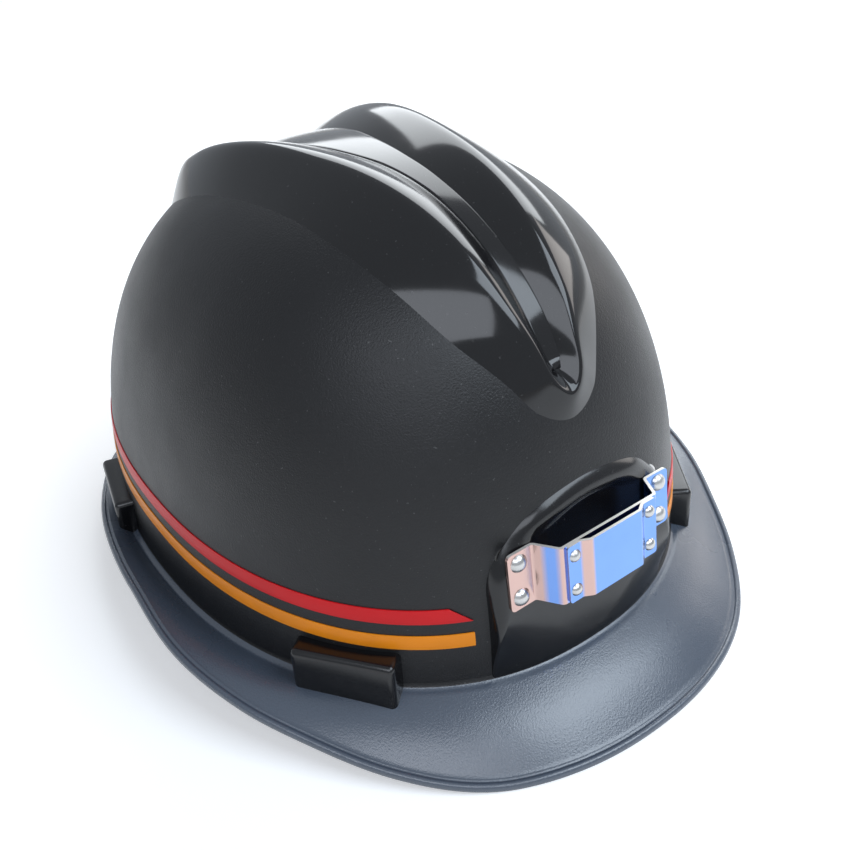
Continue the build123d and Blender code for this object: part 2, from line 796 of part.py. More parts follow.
strap_ends = {}
for name, (station, top, reach) in pockets.items():
    across, along, heading = station
    run, climb = cos(radians(heading)), sin(radians(heading))
    strap_ends[name + "_left"] = (
        Vector(across - run * strap_inset, dome_mid + along - climb * strap_inset), heading)
    strap_ends[name + "_right"] = (
        Vector(run * strap_inset - across, dome_mid + along - climb * strap_inset), half_turn - heading)
right_strap = crown_strap((strap_ends["front_right"], strap_ends["rear_left"]), 0.0)
left_strap = crown_strap((strap_ends["front_left"], strap_ends["rear_right"]), strap_wall + strap_room)

# Crown pad under the crossing of the straps
with BuildPart() as crown_pad:
    pad_top = strap_top - strap_wall / 2 - soft_gap
    with BuildSketch(upright(0, -strap_crossing, 0)):
        with BuildLine():
            roof = Spline((0, pad_top), (crown_pad_radius / 2, pad_top - crown_pad_drop / 4),
                          (crown_pad_radius, pad_top - crown_pad_drop))
            floor = Spline((0, pad_top - crown_pad_wall),
                           (crown_pad_radius / 2, pad_top - crown_pad_drop / 4 - crown_pad_wall),
                           (crown_pad_radius, pad_top - crown_pad_drop - crown_pad_wall))
            Line(roof @ 0, floor @ 0)
            Line(roof @ 1, floor @ 1)
        make_face()
    revolve(axis=Axis((0, dome_mid - strap_crossing, 0), (0, 0, 1)), revolution_arc=full_turn)
    fillet(crown_pad.edges().filter_by(GeomType.CIRCLE), crown_pad_round)


def arc_point(radius, heading, arc_back):
    """Plan point at a radius and heading from one of the headband's arc centres."""
    return radius * cos(radians(heading)), arc_back + radius * sin(radians(heading))


def ear_heading(pocket, arc_back):
    """Heading from the headband's arc centre to the point that a key's post meets."""
    (across, along, heading), top, reach = pocket
    x = across - reach * cos(radians(heading))
    y = along - reach * sin(radians(heading)) - arc_back
    return degrees(atan2(y, x))


# Headband: a racetrack ring that is open at the nape, with an ear for each key
band_top = band_low + band_rise
band_in = band_radius - band_wall
left_stud_headings = [quarter_turn - turn for turn in stud_turns]
right_stud_headings = [quarter_turn + turn for turn in stud_turns]
with BuildPart() as above_band:
    with BuildSketch(level(band_top, (front_arc_back + rear_arc_back) / 2)):
        Rectangle(3 * band_radius, 4 * band_radius)
    extrude(amount=ear_top)
    with BuildSketch(level(band_top)):
        for pocket, arc_back in ((pockets["front"], front_arc_back), (pockets["rear"], rear_arc_back)):
            turn = ear_heading(pocket, arc_back)
            for side, heading in ((1, turn), (-1, half_turn - turn)):
                with Locations(Location((*arc_point(band_radius, heading, arc_back), 0), (0, 0, heading))):
                    Rectangle(ear_width, ear_width)
    extrude(amount=ear_top, mode=Mode.SUBTRACT)
with BuildPart() as band_holes:
    for station, top, reach in pockets.values():
        across, along, heading = station
        with BuildSketch(facing(across, along, post_height, heading).offset(-reach)):
            Circle(post_radius + post_clearance)
        extrude(amount=2 * band_wall, both=True)
    slot_end = degrees((stud_radius + slot_clearance) / band_radius)
    add(ring_sector(band_in - overrun, band_radius + overrun, pinion_height - stud_radius - slot_clearance,
                    pinion_height + stud_radius + slot_clearance,
                    min(left_stud_headings) - left_arm_swing - slot_end,
                    max(left_stud_headings) + left_arm_swing + slot_end, rear_arc_back))
with BuildPart() as headband:
    with BuildSketch(level(band_low, (front_arc_back + rear_arc_back) / 2)):
        SlotCenterToCenter(rear_arc_back - front_arc_back, 2 * band_radius, rotation=quarter_turn)
        SlotCenterToCenter(rear_arc_back - front_arc_back, 2 * band_in, rotation=quarter_turn,
                           mode=Mode.SUBTRACT)
    extrude(amount=ear_top - band_low)
    add(above_band.part, mode=Mode.SUBTRACT)
    add(ring_sector(band_in - overrun, band_radius + overrun, band_low - overrun, ear_top + overrun,
                    quarter_turn - band_end_turn, quarter_turn + band_end_turn, rear_arc_back),
        mode=Mode.SUBTRACT)
    fillet(headband.faces().filter_by(Axis.Z).group_by(Axis.Z)[-1].edges().group_by(SortBy.LENGTH)[0],
           ear_round)
    add(band_holes.part, mode=Mode.SUBTRACT)
    mirror(band_holes.part, about=Plane.YZ, mode=Mode.SUBTRACT)
    with BuildSketch(Plane.YZ):
        with Locations((dome_mid + (front_arc_back + rear_arc_back) / 2, chin_hole_height)):
            with GridLocations(chin_hole_spacing, 0, 2, 1):
                Circle(chin_hole_radius)
    extrude(amount=band_radius + overrun, both=True, mode=Mode.SUBTRACT)

with BuildPart() as sweatband:
    sweat_out = band_in - soft_gap
    add(ring_sector(sweat_out - sweat_wall, sweat_out, sweat_low, sweat_low + sweat_rise,
                    -quarter_turn - sweat_turn, -quarter_turn + sweat_turn, front_arc_back))
    fillet(sweatband.edges(), sweat_round)

with BuildPart() as nape_pad:
    add(ring_sector(sweat_out - nape_wall, sweat_out, nape_low, nape_low + nape_rise,
                    quarter_turn - nape_turn, quarter_turn + nape_turn, rear_arc_back))
    fillet(nape_pad.edges(), nape_round)


def rear_arm(inner, start, end, up, stud_headings):
    """Arm of the ratchet with a rack on its window's upper edge, or lower edge when up is negative."""
    middle = inner + arm_wall / 2
    pitch = full_turn / pinion_teeth * pitch_radius / middle
    root = pinion_height + up * (pitch_radius + rack_dedendum)
    tip = pinion_height + up * (pitch_radius - rack_addendum)
    far = pinion_height - up * (pitch_radius + rack_dedendum)
    root_half = radians(pitch) * middle * rack_root_half_share
    tip_half = radians(pitch) * middle * rack_tip_half_share
    with BuildPart() as arm:
        add(ring_sector(inner, inner + arm_wall, arm_low, arm_low + arm_rise, start, end, rear_arc_back))
        add(ring_sector(inner - overrun, inner + arm_wall + overrun, min(far, root), max(far, root),
                        quarter_turn - window_turn, quarter_turn + window_turn, rear_arc_back),
            mode=Mode.SUBTRACT)
        for step in range(-rack_half_count, rack_half_count):
            heading = quarter_turn + (step + 1 / 2) * pitch
            with BuildSketch(facing(*arc_point(inner + tooth_inset, heading, rear_arc_back), 0, heading)):
                Polygon((-root_half, root + up * tooth_inset), (-tip_half, tip),
                        (tip_half, tip), (root_half, root + up * tooth_inset), align=None)
            extrude(amount=arm_wall - 2 * tooth_inset)
        for heading in stud_headings:
            with BuildSketch(facing(*arc_point(inner, heading, rear_arc_back), pinion_height, heading)):
                Circle(stud_radius + stud_fit)
            extrude(amount=2 * arm_wall, both=True, mode=Mode.SUBTRACT)
    return arm.part


def arm_studs(inner, stud_headings):
    """Studs that hold an arm to the headband, each with a head inside and a head outside."""
    seat = band_in - stud_clearance
    grip = inner + arm_wall + stud_clearance - seat
    with BuildPart() as studs:
        for heading in stud_headings:
            frame = facing(*arc_point(seat, heading, rear_arc_back), pinion_height, heading)
            with BuildSketch(frame):
                Circle(stud_head_radius)
            extrude(amount=-stud_head_wall)
            with BuildSketch(frame):
                Circle(stud_radius)
            extrude(amount=grip)
            with BuildSketch(frame.offset(grip)):
                Circle(stud_head_radius)
            extrude(amount=stud_head_wall)
    return studs.part


left_arm = rear_arm(left_arm_in, quarter_turn - arm_root_turn, quarter_turn + arm_tip_turn, 1,
                    left_stud_headings)
right_arm = rear_arm(right_arm_in, quarter_turn - arm_tip_turn, quarter_turn + arm_root_turn, -1,
                     right_stud_headings)
left_arm_studs = arm_studs(left_arm_in, left_stud_headings)
right_arm_studs = arm_studs(right_arm_in, right_stud_headings)


def knob_frame(radius):
    """Plane square to the knob's axis at a distance from the rear arc's centre, facing back."""
    return facing(0, rear_arc_back + radius, pinion_height, quarter_turn)


# Ratchet housing round the arms' tips, and its cover towards the nape
housing_low = arm_low - arm_room - flange_wall
housing_high = arm_low + arm_rise + arm_room + flange_wall
housing_start, housing_end = quarter_turn - housing_turn, quarter_turn + housing_turn
with BuildPart() as housing:
    add(ring_sector(housing_in, housing_out, housing_low, housing_high, housing_start, housing_end,
                    rear_arc_back))
    for low in (housing_low, housing_high - flange_wall):
        add(ring_sector(band_in, housing_out, low, low + flange_wall, housing_start, housing_end,
                        rear_arc_back))
    with BuildSketch(knob_frame(housing_in + housing_wall / 2)):
        Rectangle(spring_boss_side, spring_boss_side)
    extrude(amount=housing_wall / 2 + spring_boss_rise)
    with BuildSketch(knob_frame(housing_in - overrun)):
        Circle(stem_radius + shaft_clearance)
    extrude(amount=2 * overrun + housing_wall + spring_boss_rise, mode=Mode.SUBTRACT)

with BuildPart() as housing_cover:
    add(ring_sector(band_in, band_radius, housing_low + flange_wall + cover_edge_gap,
                    housing_high - flange_wall - cover_edge_gap, housing_start, housing_end, rear_arc_back))
    with BuildSketch(knob_frame(band_in - overrun)):
        Circle(journal_radius + shaft_clearance)
    extrude(amount=2 * overrun + band_wall, mode=Mode.SUBTRACT)

# Knob, the pinion on its stem, its click spring and its screw
gear_start = left_arm_in - left_arm_gap
gear_end = right_arm_in + arm_wall - left_arm_gap
knob_start = housing_out + knob_gap
knob_end = knob_start + knob_depth
stem_end = knob_end - screw_head_wall - knob_web - stem_end_gap
room_end = knob_start + knob_room_depth
with BuildPart() as pinion:
    with BuildSketch(knob_frame(gear_start)):
        Circle(gear_root)
        with PolarLocations(0, pinion_teeth):
            Polygon((-gear_root_width / 2, gear_root - gear_root_width / 2),
                    (gear_root_width / 2, gear_root - gear_root_width / 2),
                    (gear_tip_width / 2, gear_tip), (-gear_tip_width / 2, gear_tip), align=None)
    extrude(amount=gear_end - gear_start)
    with BuildSketch(knob_frame(gear_start)):
        Circle(journal_radius)
    extrude(amount=band_in + journal_end_gap - gear_start)
    with BuildSketch(knob_frame(gear_end)):
        Circle(stem_radius)
    extrude(amount=room_end - gear_end)
    with BuildSketch(knob_frame(room_end)):
        Rectangle(stem_square, stem_square)
    extrude(amount=stem_end - room_end)
    with BuildSketch(knob_frame(stem_end)):
        Circle(screw_radius + press_clearance)
    extrude(amount=-screw_length, mode=Mode.SUBTRACT)

with BuildPart() as click_spring:
    with BuildSketch(knob_frame(housing_out + spring_seat)):
        Circle(spring_hub_radius)
        with PolarLocations(0, spring_arms, start_angle=half_turn / spring_arms):
            with Locations(((spring_reach - spring_arm_width / 2) / 2, 0)):
                Rectangle(spring_reach - spring_arm_width / 2, spring_arm_width)
            with Locations((spring_reach - spring_arm_width / 2, 0)):
                Circle(spring_arm_width / 2)
        Rectangle(spring_boss_side + 2 * stud_fit, spring_boss_side + 2 * stud_fit, mode=Mode.SUBTRACT)
    extrude(amount=spring_wall)

with BuildPart() as knob:
    with BuildSketch(knob_frame(knob_start)):
        Circle(knob_radius)
        with PolarLocations(knob_radius + flute_stand, flute_count):
            Circle(flute_radius, mode=Mode.SUBTRACT)
    extrude(amount=knob_depth)
    fillet(knob.faces().sort_by(Axis.Y)[-1].edges(), knob_round)
    with BuildSketch(knob_frame(knob_start)):
        Circle(knob_room_radius)
        with PolarLocations(knob_room_radius, detent_count):
            Circle(detent_radius)
    extrude(amount=knob_room_depth, mode=Mode.SUBTRACT)
    with BuildSketch(knob_frame(room_end)):
        Rectangle(stem_square + 2 * press_clearance, stem_square + 2 * press_clearance)
    extrude(amount=stem_end + stem_end_gap - room_end, mode=Mode.SUBTRACT)
    with BuildSketch(knob_frame(knob_end)):
        Circle(screw_head_radius + stud_fit)
    extrude(amount=-screw_head_wall, mode=Mode.SUBTRACT)
    with BuildSketch(knob_frame(knob_end)):
        Circle(screw_radius + stud_fit)
    extrude(amount=-knob_depth, mode=Mode.SUBTRACT)

with BuildPart() as knob_screw:
    with BuildSketch(knob_frame(knob_end)):
        Circle(screw_head_radius)
    extrude(amount=-screw_head_wall)
    with BuildSketch(knob_frame(knob_end - screw_head_wall)):
        Circle(screw_radius)
    extrude(amount=-screw_length)
    with BuildSketch(knob_frame(knob_end)):
        Rectangle(2 * screw_head_radius, screw_slot)
    extrude(amount=-screw_head_wall / 2, mode=Mode.SUBTRACT)

right_tapes = {}
for name, tape_part in tapes.items():
    with BuildPart() as right_tape:
        mirror(tape_part, about=Plane.YZ)
    right_tapes[name] = right_tape.part

pieces = {
    "shell": shell.part,
    "bracket_base": bracket_base.part,
    "bracket_plate": bracket_plate.part,
    "bracket_rivets": bracket_rivets.part,
    "plate_rivets": plate_rivets.part,
    "bracket_washers": bracket_washers.part,
    "cord_clip": cord_clip.part,
    "clip_rivets": clip_rivets.part,
    "clip_washers": clip_washers.part,
    "orange_stripe_left": tapes["orange"],
    "orange_stripe_right": right_tapes["orange"],
    "red_stripe_left": tapes["red"],
    "red_stripe_right": right_tapes["red"],
    "front_left_key": left_keys["front"],
    "front_right_key": front_right_key.part,
    "rear_left_key": left_keys["rear"],
    "rear_right_key": rear_right_key.part,
    "crown_strap_right": right_strap,
    "crown_strap_left": left_strap,
    "crown_pad": crown_pad.part,
    "headband": headband.part,
    "sweatband": sweatband.part,
    "nape_pad": nape_pad.part,
    "left_arm": left_arm,
    "right_arm": right_arm,
    "left_arm_studs": left_arm_studs,
    "right_arm_studs": right_arm_studs,
    "housing": housing.part,
    "housing_cover": housing_cover.part,
    "click_spring": click_spring.part,
    "pinion": pinion.part,
    "knob": knob.part,
    "knob_screw": knob_screw.part,
}
os.makedirs("parts", exist_ok=True)
for name, piece in pieces.items():
    piece.label = name
    export_step(piece, "parts/" + name + ".step")
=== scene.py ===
from math import cos, pi, radians, sin

import bpy
import numpy as np
from bpy.props import FloatProperty, FloatVectorProperty, PointerProperty
from bpy.types import Operator, Panel, PropertyGroup
from mathutils import Matrix, Vector


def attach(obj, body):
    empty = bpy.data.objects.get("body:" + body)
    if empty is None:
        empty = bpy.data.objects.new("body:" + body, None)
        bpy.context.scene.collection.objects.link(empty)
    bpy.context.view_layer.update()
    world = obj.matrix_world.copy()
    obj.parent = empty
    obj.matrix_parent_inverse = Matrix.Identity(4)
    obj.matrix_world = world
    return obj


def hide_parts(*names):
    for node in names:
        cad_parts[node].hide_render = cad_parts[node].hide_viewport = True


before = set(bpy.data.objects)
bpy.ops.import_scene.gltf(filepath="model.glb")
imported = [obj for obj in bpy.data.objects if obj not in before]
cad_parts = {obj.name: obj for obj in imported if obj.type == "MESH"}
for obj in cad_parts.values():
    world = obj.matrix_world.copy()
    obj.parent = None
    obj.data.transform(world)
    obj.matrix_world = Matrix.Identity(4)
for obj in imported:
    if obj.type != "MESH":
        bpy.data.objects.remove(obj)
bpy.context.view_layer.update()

bl_info = {
    "name": "Miner Helmet",
    "version": (1, 0, 0),
    "blender": (4, 5, 0),
    "location": "View3D > Sidebar > Helmet",
    "description": "Dresses a brimmed miner helmet with its lamp bracket, tapes and strap harness",
    "category": "Add Mesh",
}

# Brim, by the turn round the dome's outline in degrees, from the peak at -90 to the neck at 90
BRIM_TURNS = (-102, -90, -78, -65, -52, -40, -28, -15, 0, 15, 32, 50, 70, 90, 110)
VISOR_SHARES = (0.985, 1, 0.985, 0.935, 0.81, 0.72, 0.72, 0.688, 0.535, 0.37, 0.23, 0.16, 0.07, 0, 0.07)
NECK_SHARES = (0, 0, 0, 0, 0, 0, 0, 0, 0, 0.08, 0.18, 0.42, 0.78, 1, 0.78)

# One ridge of the raised V, from its tip to the back: its two edges in plan, its rise and its crest's place
INNER_EDGE = ((0, -0.935), (0.018, -0.915), (0.025, -0.870), (0.025, -0.785), (0.023, -0.617), (0.026, -0.43),
              (0.042, -0.234), (0.084, 0), (0.134, 0.234), (0.170, 0.467), (0.195, 0.636), (0.225, 0.76))
OUTER_EDGE = ((0, -1), (0.107, -0.985), (0.185, -0.944), (0.330, -0.804), (0.412, -0.617), (0.452, -0.43),
              (0.468, -0.234), (0.483, 0), (0.5, 0.234), (0.498, 0.467), (0.47, 0.617), (0.43, 0.73))
RIDGE_RISES = (0.42, 0.46, 0.50, 0.56, 0.62, 0.68, 0.76, 0.9, 1, 1, 0.86, -0.1)
CREST_PLACES = (0.5, 0.42, 0.34, 0.30, 0.32, 0.37, 0.42, 0.47, 0.5, 0.5, 0.5, 0.5)

# Section of the brim's edge, from the groove beside the lip over the lip to the underside: how far inside the
# brim's reach, and how far over the line of its upper side, in millimetres
LIP_SECTION = ((3.1, 0), (2.85, -0.04), (2.65, -0.18), (2.45, -0.34), (2.25, -0.36), (2.05, -0.24),
               (1.85, -0.02), (1.6, 0.14), (1.2, 0.18), (0.8, 0.08), (0.45, -0.14), (0.18, -0.5),
               (0.04, -0.95), (0, -1.4), (0.03, -1.9), (0.2, -2.3), (0.5, -2.52), (1.0, -2.6))

# Points round the lamp panel's outline: along each side, over the arch, and along the lower edge
PANEL_SIDE, PANEL_ARCH, PANEL_LOW = 16, 60, 28

# Pads inside the band: name, centre along the helmet from the dome's middle, heading and half of the turn in
# degrees, outer radius, thickness, lower and upper height, and the pitch of the upright seams
BAND_PADS = (("sweatband", -0.015, -90, 68, 0.07985, 0.0038, 0.0032, 0.0338, 0.0185),
             ("nape_pad", 0.022, 90, 33, 0.07985, 0.0064, 0.0043, 0.0277, 0.0155))

# Sewing of the pads: the remeshed cover's voxel, how far the foam swells it, and a seam's depth and spread
PAD_VOXEL, PAD_SWELL, SEAM_DEPTH, SEAM_SPREAD = 0.0014, 0.0002, 0.0009, 0.0013

# Lamps: a wide window behind the helmet, a soft box over the peak, a warm fill on the wearer's left and a
# soft box over the camera. Each has its heading and climb in degrees, its distance, width and height, its
# radiance and its tone. The lamps are turned to one point, and the camera moves round another
LAMPS = (("window", 129, 33, 1.4, 1.5, 0.9, 3.8, (0.93, 0.97, 1.0)),
         ("front_sky", 28, 49, 1.4, 1.0, 0.7, 5.6, (0.80, 0.90, 1.0)),
         ("side_fill", 84, 16, 1.4, 0.6, 0.5, 2.4, (1.0, 0.94, 0.90)),
         ("left_sky", -42, 41, 1.4, 1.1, 0.6, 3.2, (0.86, 0.91, 1.0)))
LAMP_TARGET = (0, -0.01, 0.06)
CAMERA_TARGET = (0, -0.0095, 0.06)

# How far in front of the dome's middle the crown straps cross, which is also where the crown pad hangs
CROSSING = 0.008

# How deep the hidden sides of the raised V and of its groove's floor lie in the wall
BURIED = 0.0016

# Scale at which Blender's wave texture repeats once in a metre
WAVE_PER_METRE = 0.314

MM = 0.001


def linear(code):
    """sRGB hex code to linear red, green and blue."""
    channel = np.array([int(code[i:i + 2], 16) for i in (0, 2, 4)]) / 255
    return tuple(np.where(channel <= 0.04045, channel / 12.92, ((channel + 0.055) / 1.055) ** 2.4).tolist())


def length(name, default, description):
    return FloatProperty(name=name, description=description, default=default, unit="LENGTH", precision=4)


def number(name, default, description):
    return FloatProperty(name=name, description=description, default=default)


def turned(name, default, description):
    return FloatProperty(name=name, description=description, default=radians(default), unit="ROTATION")


def colour(name, default, description):
    return FloatVectorProperty(name=name, description=description, default=linear(default), subtype="COLOR",
                               min=0, max=1)


class HelmetShell(PropertyGroup):
    half_width: length("Half width", 0.095, "Half of the dome's width at its foot")
    front: length("Front", 0.118, "From the dome's middle to its front")
    rear: length("Rear", 0.1298, "From the dome's middle to its back")
    rise: length("Rise", 0.1393, "Height of the crown over the dome's foot")
    foot: length("Foot", 0.0172, "Height of the dome's foot")
    middle: length("Middle", 0.0005, "Place of the dome's middle along the helmet")
    crown_shift: length("Crown shift", 0.0106, "How far the crown leans towards the peak")
    wall: length("Wall", 0.0025, "Thickness of the moulded wall")
    plan_power: number("Plan power", 2.25, "Roundness of the plan, where 2 is an ellipse")
    profile_power: number("Profile power", 2.33, "Roundness of the profile, where 2 is an ellipse")
    visor_reach: length("Peak reach", 0.0298, "Width of the brim at the peak")
    neck_reach: length("Neck reach", 0.017, "Width of the brim at the neck")
    brim_wall: length("Brim wall", 0.0026, "Thickness of the brim")
    brim_bulge: length("Brim bulge", 0.0015, "How far the brim's upper side swells")
    side_lift: length("Side lift", 0.0207, "How far the brim rises at the sides")


class HelmetRidges(PropertyGroup):
    rise: length("Rise", 0.0086, "Height of a ridge over the dome")
    plan_width: length("Plan width", 0.089, "Width of the V in plan")
    plan_length: length("Plan length", 0.107, "Length that the V's plan shares refer to")
    crest_round: number("Crest round", 0.13, "Roundness of the crest, as a share of the ridge's width")
    sink: length("Sink", 0.0006, "How deep the ridge's edges sit in the dome")
    floor_front: length("Floor front", -0.1, "Front end of the groove's floor, from the dome's middle")
    floor_back: length("Floor back", 0.0795, "Rear corners of the groove's floor, from the dome's middle")
    floor_bow: length("Floor bow", 0.007, "How far the rear edge of the floor is bowed back")
    floor_stand: length("Floor stand", 0.00025, "How far the floor stands off the dome")
    floor_overlap: length("Floor overlap", 0.0012, "How far the floor's edges reach under the ridges")


class HelmetPanel(PropertyGroup):
    half_width: length("Half width", 0.0375, "Half of the lamp panel's width")
    reach: length("Reach", 0.115, "From the dome's middle to the panel's face")
    height: length("Height", 0.057, "Height of the middle of the lamp bracket")
    lean: turned("Lean", 5.7, "How far the panel leans back")
    spring: length("Spring", -0.005, "Start of the arch, measured up the panel from the bracket's middle")
    arch_rise: length("Arch rise", 0.0295, "Height of the arch")
    low: length("Low", -0.0425, "Lower end of the panel, measured from the bracket's middle")
    shoulder: length("Shoulder", 0.0075, "Round of the panel's arched shoulder")
    side_round: length("Side round", 0.0006, "Round of the panel's lower edge and of the feet of its sides")
    foot_stand: length("Foot stand", 0.0006, "How far the panel stands off the dome at its foot")
    curved_below: length("Curved below", 0.02, "Height under which the panel is as curved as the dome")
    flat_above: length("Flat above", 0.046, "Height over which the panel is flat")
    hood: length("Hood", 0.0015, "How far the arch's hood stands off the face")
    hood_low: length("Hood low", 0.010, "Start of the hood, measured up the panel from the bracket's middle")
    hood_full: length("Hood full", 0.018, "Where the hood has its full height")
    pad_reach: length("Cord pad reach", 0.1296, "From the dome's middle to the cord pad's face")
    pad_height: length("Cord pad height", 0.052, "Height of the cord pad's middle")
    pad_lean: turned("Cord pad lean", 9.0, "How far the cord pad leans")
    pad_width: length("Cord pad width", 0.054, "Width of the cord pad")
    pad_tall: length("Cord pad tall", 0.024, "Height of the cord pad's face")
    pad_round: length("Cord pad round", 0.0015, "Round of the cord pad's edge")


class HelmetPockets(PropertyGroup):
    width: length("Width", 0.0345, "Width of a pocket")
    stand: length("Stand", 0.006, "How far a pocket stands off the dome's foot")
    low: length("Low", 0.0126, "Height of a pocket's lower side")
    front_top: length("Front top", 0.0325, "Height of a front pocket's top")
    rear_top: length("Rear top", 0.0315, "Height of a rear pocket's top")
    front_turn: turned("Front turn", -42.5, "Place of the front pockets round the outline")
    rear_turn: turned("Rear turn", 20.8, "Place of the rear pockets round the outline")
    round: length("Round", 0.0020, "Round of a pocket's edges")


class HelmetTapes(PropertyGroup):
    width: length("Width", 0.0052, "Width of a tape")
    height: length("Height", 0.036, "Height of the orange tape's middle at the front of the dome")
    spacing: length("Spacing", 0.0098, "From the orange tape's middle to the red one's")
    lean: turned("Lean", 2.0, "How far the tapes climb towards the back")
    front_end: length("Front end", 0.042, "Place of the front ends across the helmet")
    rear_end: length("Rear end", 0.040, "Place of the rear ends across the helmet")
    stand: length("Stand", 0.00045, "How far the tape's face stands off the dome")


class HelmetHarness(PropertyGroup):
    strap_inset: length("Strap inset", 0.01095, "From the dome's outline to the straps' ends")
    strap_low: length("Strap low", 0.0475, "Height of the straps' ends")
    strap_top: length("Strap top", 0.119, "Height of the straps at the crown")
    strap_width: length("Strap width", 0.019, "Width of the webbing")
    strap_wall: length("Strap wall", 0.0012, "Thickness of the webbing")
    pad_radius: length("Pad radius", 0.031, "Radius of the crown pad")


class HelmetFinish(PropertyGroup):
    shell: colour("Shell", "111113", "Matte moulded dome")
    gloss: colour("Polished shell", "0E0E10", "Polished ridges, lamp panel and pockets")
    # Brim: black ABS, its tone lifted to a blue grey as a painted sheen of the sky
    brim: colour("Brim", "454E5B", "Upper side of the brim")
    orange: colour("Orange tape", "EE8C12", "Lower tape")
    red: colour("Red tape", "D20F18", "Upper tape")
    # Bracket: plated steel, its strong blue a painted reflection of a blue sky
    steel_sky_tint: colour("Bracket", "7FA6EA", "Plated steel of the lamp bracket")
    # Brown of a painted reflection, in bands at the bracket's bends and flanges on one side
    brown_reflection: colour("Patina", "CBABA2", "Passivated bends and flanges")
    # Near-white painted highlight on the bracket's upward faces, which are its sheared edges
    top_edge_highlight: colour("Cut edge", "F4EFE9", "Bright sheared edges of the plated sheet")
    rivet: colour("Rivets", "C9C8C6", "Aluminium rivets")
    webbing: colour("Webbing", "2B2C30", "Polyester straps")
    fabric: colour("Padding", "24262A", "Knitted cover of the pads")
    nylon: colour("Harness", "222326", "Headband, arms and keys")
    acetal: colour("Gear", "E6E1D4", "Pinion and click spring")


class HelmetStage(PropertyGroup):
    heading: turned("Camera heading", -33.132, "Turn of the camera round the helmet")
    climb: turned("Camera climb", 31.593, "Height of the camera over the horizon")
    roll: turned("Camera roll", -5.159, "Roll of the camera")
    distance: length("Camera distance", 0.388805, "From the camera to the point that it looks at")
    lens: number("Lens", 43.371, "Focal length in millimetres")
    shift_x: number("Shift across", 0.0409, "Sideways shift of the picture, as a share of its width")
    shift_y: number("Shift up", -0.0341, "Upward shift of the picture, as a share of its width")
    floor: colour("Floor", "F2F2F2", "Pale floor")


def signed_power(value, exponent):
    return np.sign(value) * np.abs(value) ** exponent


def curve_through(at, places, values):
    """Smooth curve through table values: a cubic Hermite, its slopes taken from the neighbouring values."""
    places, values = np.asarray(places, float), np.asarray(values, float)
    slopes = np.gradient(values, places, axis=0)
    index = np.clip(np.searchsorted(places, at, side="right") - 1, 0, len(places) - 2)
    step = places[index + 1] - places[index]
    share = (at - places[index]) / step
    if values.ndim > 1:
        step, share = step[..., None], share[..., None]
    return (values[index] * (1 + 2 * share) * (1 - share) ** 2
            + values[index + 1] * share**2 * (3 - 2 * share)
            + slopes[index] * step * share * (1 - share) ** 2
            - slopes[index + 1] * step * share**2 * (1 - share))


def dome_points(shell, turn, rise, grow=0.0):
    """Points of the dome: a superellipse in plan, drawn in towards the crown by a superellipse in profile.
    The crown leans towards the peak by the square of the height."""
    up = np.sin(rise) ** (2 / shell.profile_power)
    out = np.cos(rise) ** (2 / shell.profile_power)
    run = np.where(np.sin(turn) > 0, shell.rear, shell.front) + grow
    across = (shell.half_width + grow) * signed_power(np.cos(turn), 2 / shell.plan_power) * out
    along = run * signed_power(np.sin(turn), 2 / shell.plan_power) * out - shell.crown_shift * up**2
    height = shell.foot + (shell.rise + grow) * up
    return np.stack(np.broadcast_arrays(across, shell.middle + along, height), -1)


def dome_level(shell, points, grow=0.0):
    """The dome's own equation: negative inside it, positive outside, with its sizes grown all round."""
    up = np.clip((points[..., 2] - shell.foot) / (shell.rise + grow), 0, None)
    along = points[..., 1] - shell.middle + shell.crown_shift * up**2
    run = np.where(along > 0, shell.rear, shell.front) + grow
    plan = np.abs(points[..., 0] / (shell.half_width + grow)) ** shell.plan_power
    plan = plan + np.abs(along / run) ** shell.plan_power
    return plan ** (shell.profile_power / shell.plan_power) + up**shell.profile_power - 1


def dome_normal(shell, points):
    """Outward direction of the dome: the slope of its equation along each axis."""
    step = 1e-5
    slope = np.stack([dome_level(shell, points + shift) - dome_level(shell, points - shift)
                      for shift in np.eye(3) * step], -1)
    return slope / np.linalg.norm(slope, axis=-1, keepdims=True)


def halved(holds, near, far):
    """The place between near and far up to which a condition holds, found by halving the interval."""
    for _ in range(30):
        middle = (near + far) / 2
        held = holds(middle)
        near, far = np.where(held, middle, near), np.where(held, far, middle)
    return near


def travel_to_dome(shell, points, direction, near, far, grow):
    """How far each point goes along a direction until it meets the dome, grown all round."""
    return halved(lambda way: dome_level(shell, points + direction * way[..., None], grow) > 0,
                  np.full(points.shape[:-1], near), np.full(points.shape[:-1], far))


def dome_height(shell, across, along):
    """Height of the dome over a plan point, corrected in rounds for the crown's lean."""
    up, mixed = np.zeros(np.shape(across)), shell.profile_power / shell.plan_power
    for _ in range(14):
        shifted = along + shell.crown_shift * up**2
        run = np.where(shifted > 0, shell.rear, shell.front)
        plan = (np.abs(across / shell.half_width) ** shell.plan_power
                + np.abs(shifted / run) ** shell.plan_power)
        up = (1 - np.minimum(plan, 1) ** mixed) ** (1 / shell.profile_power)
    return shell.foot + shell.rise * up


def off_dome(shell, plan, lift):
    """Points over plan points, lifted off the dome along its outward direction."""
    base = np.concatenate([plan, dome_height(shell, plan[..., 0], plan[..., 1])[..., None]], -1)
    base[..., 1] += shell.middle
    return base + dome_normal(shell, base) * lift[..., None]


def foot_station(shell, turn):
    """Point of the dome's foot outline at a turn, and the outward direction there, both in plan."""
    across = shell.half_width * signed_power(np.cos(turn), 2 / shell.plan_power)
    run = np.where(np.sin(turn) > 0, shell.rear, shell.front)
    along = run * signed_power(np.sin(turn), 2 / shell.plan_power)
    out = np.stack([signed_power(across / shell.half_width, shell.plan_power - 1) / shell.half_width,
                    signed_power(along / run, shell.plan_power - 1) / run], -1)
    return np.stack([across, shell.middle + along], -1), out / np.linalg.norm(out, axis=-1, keepdims=True)


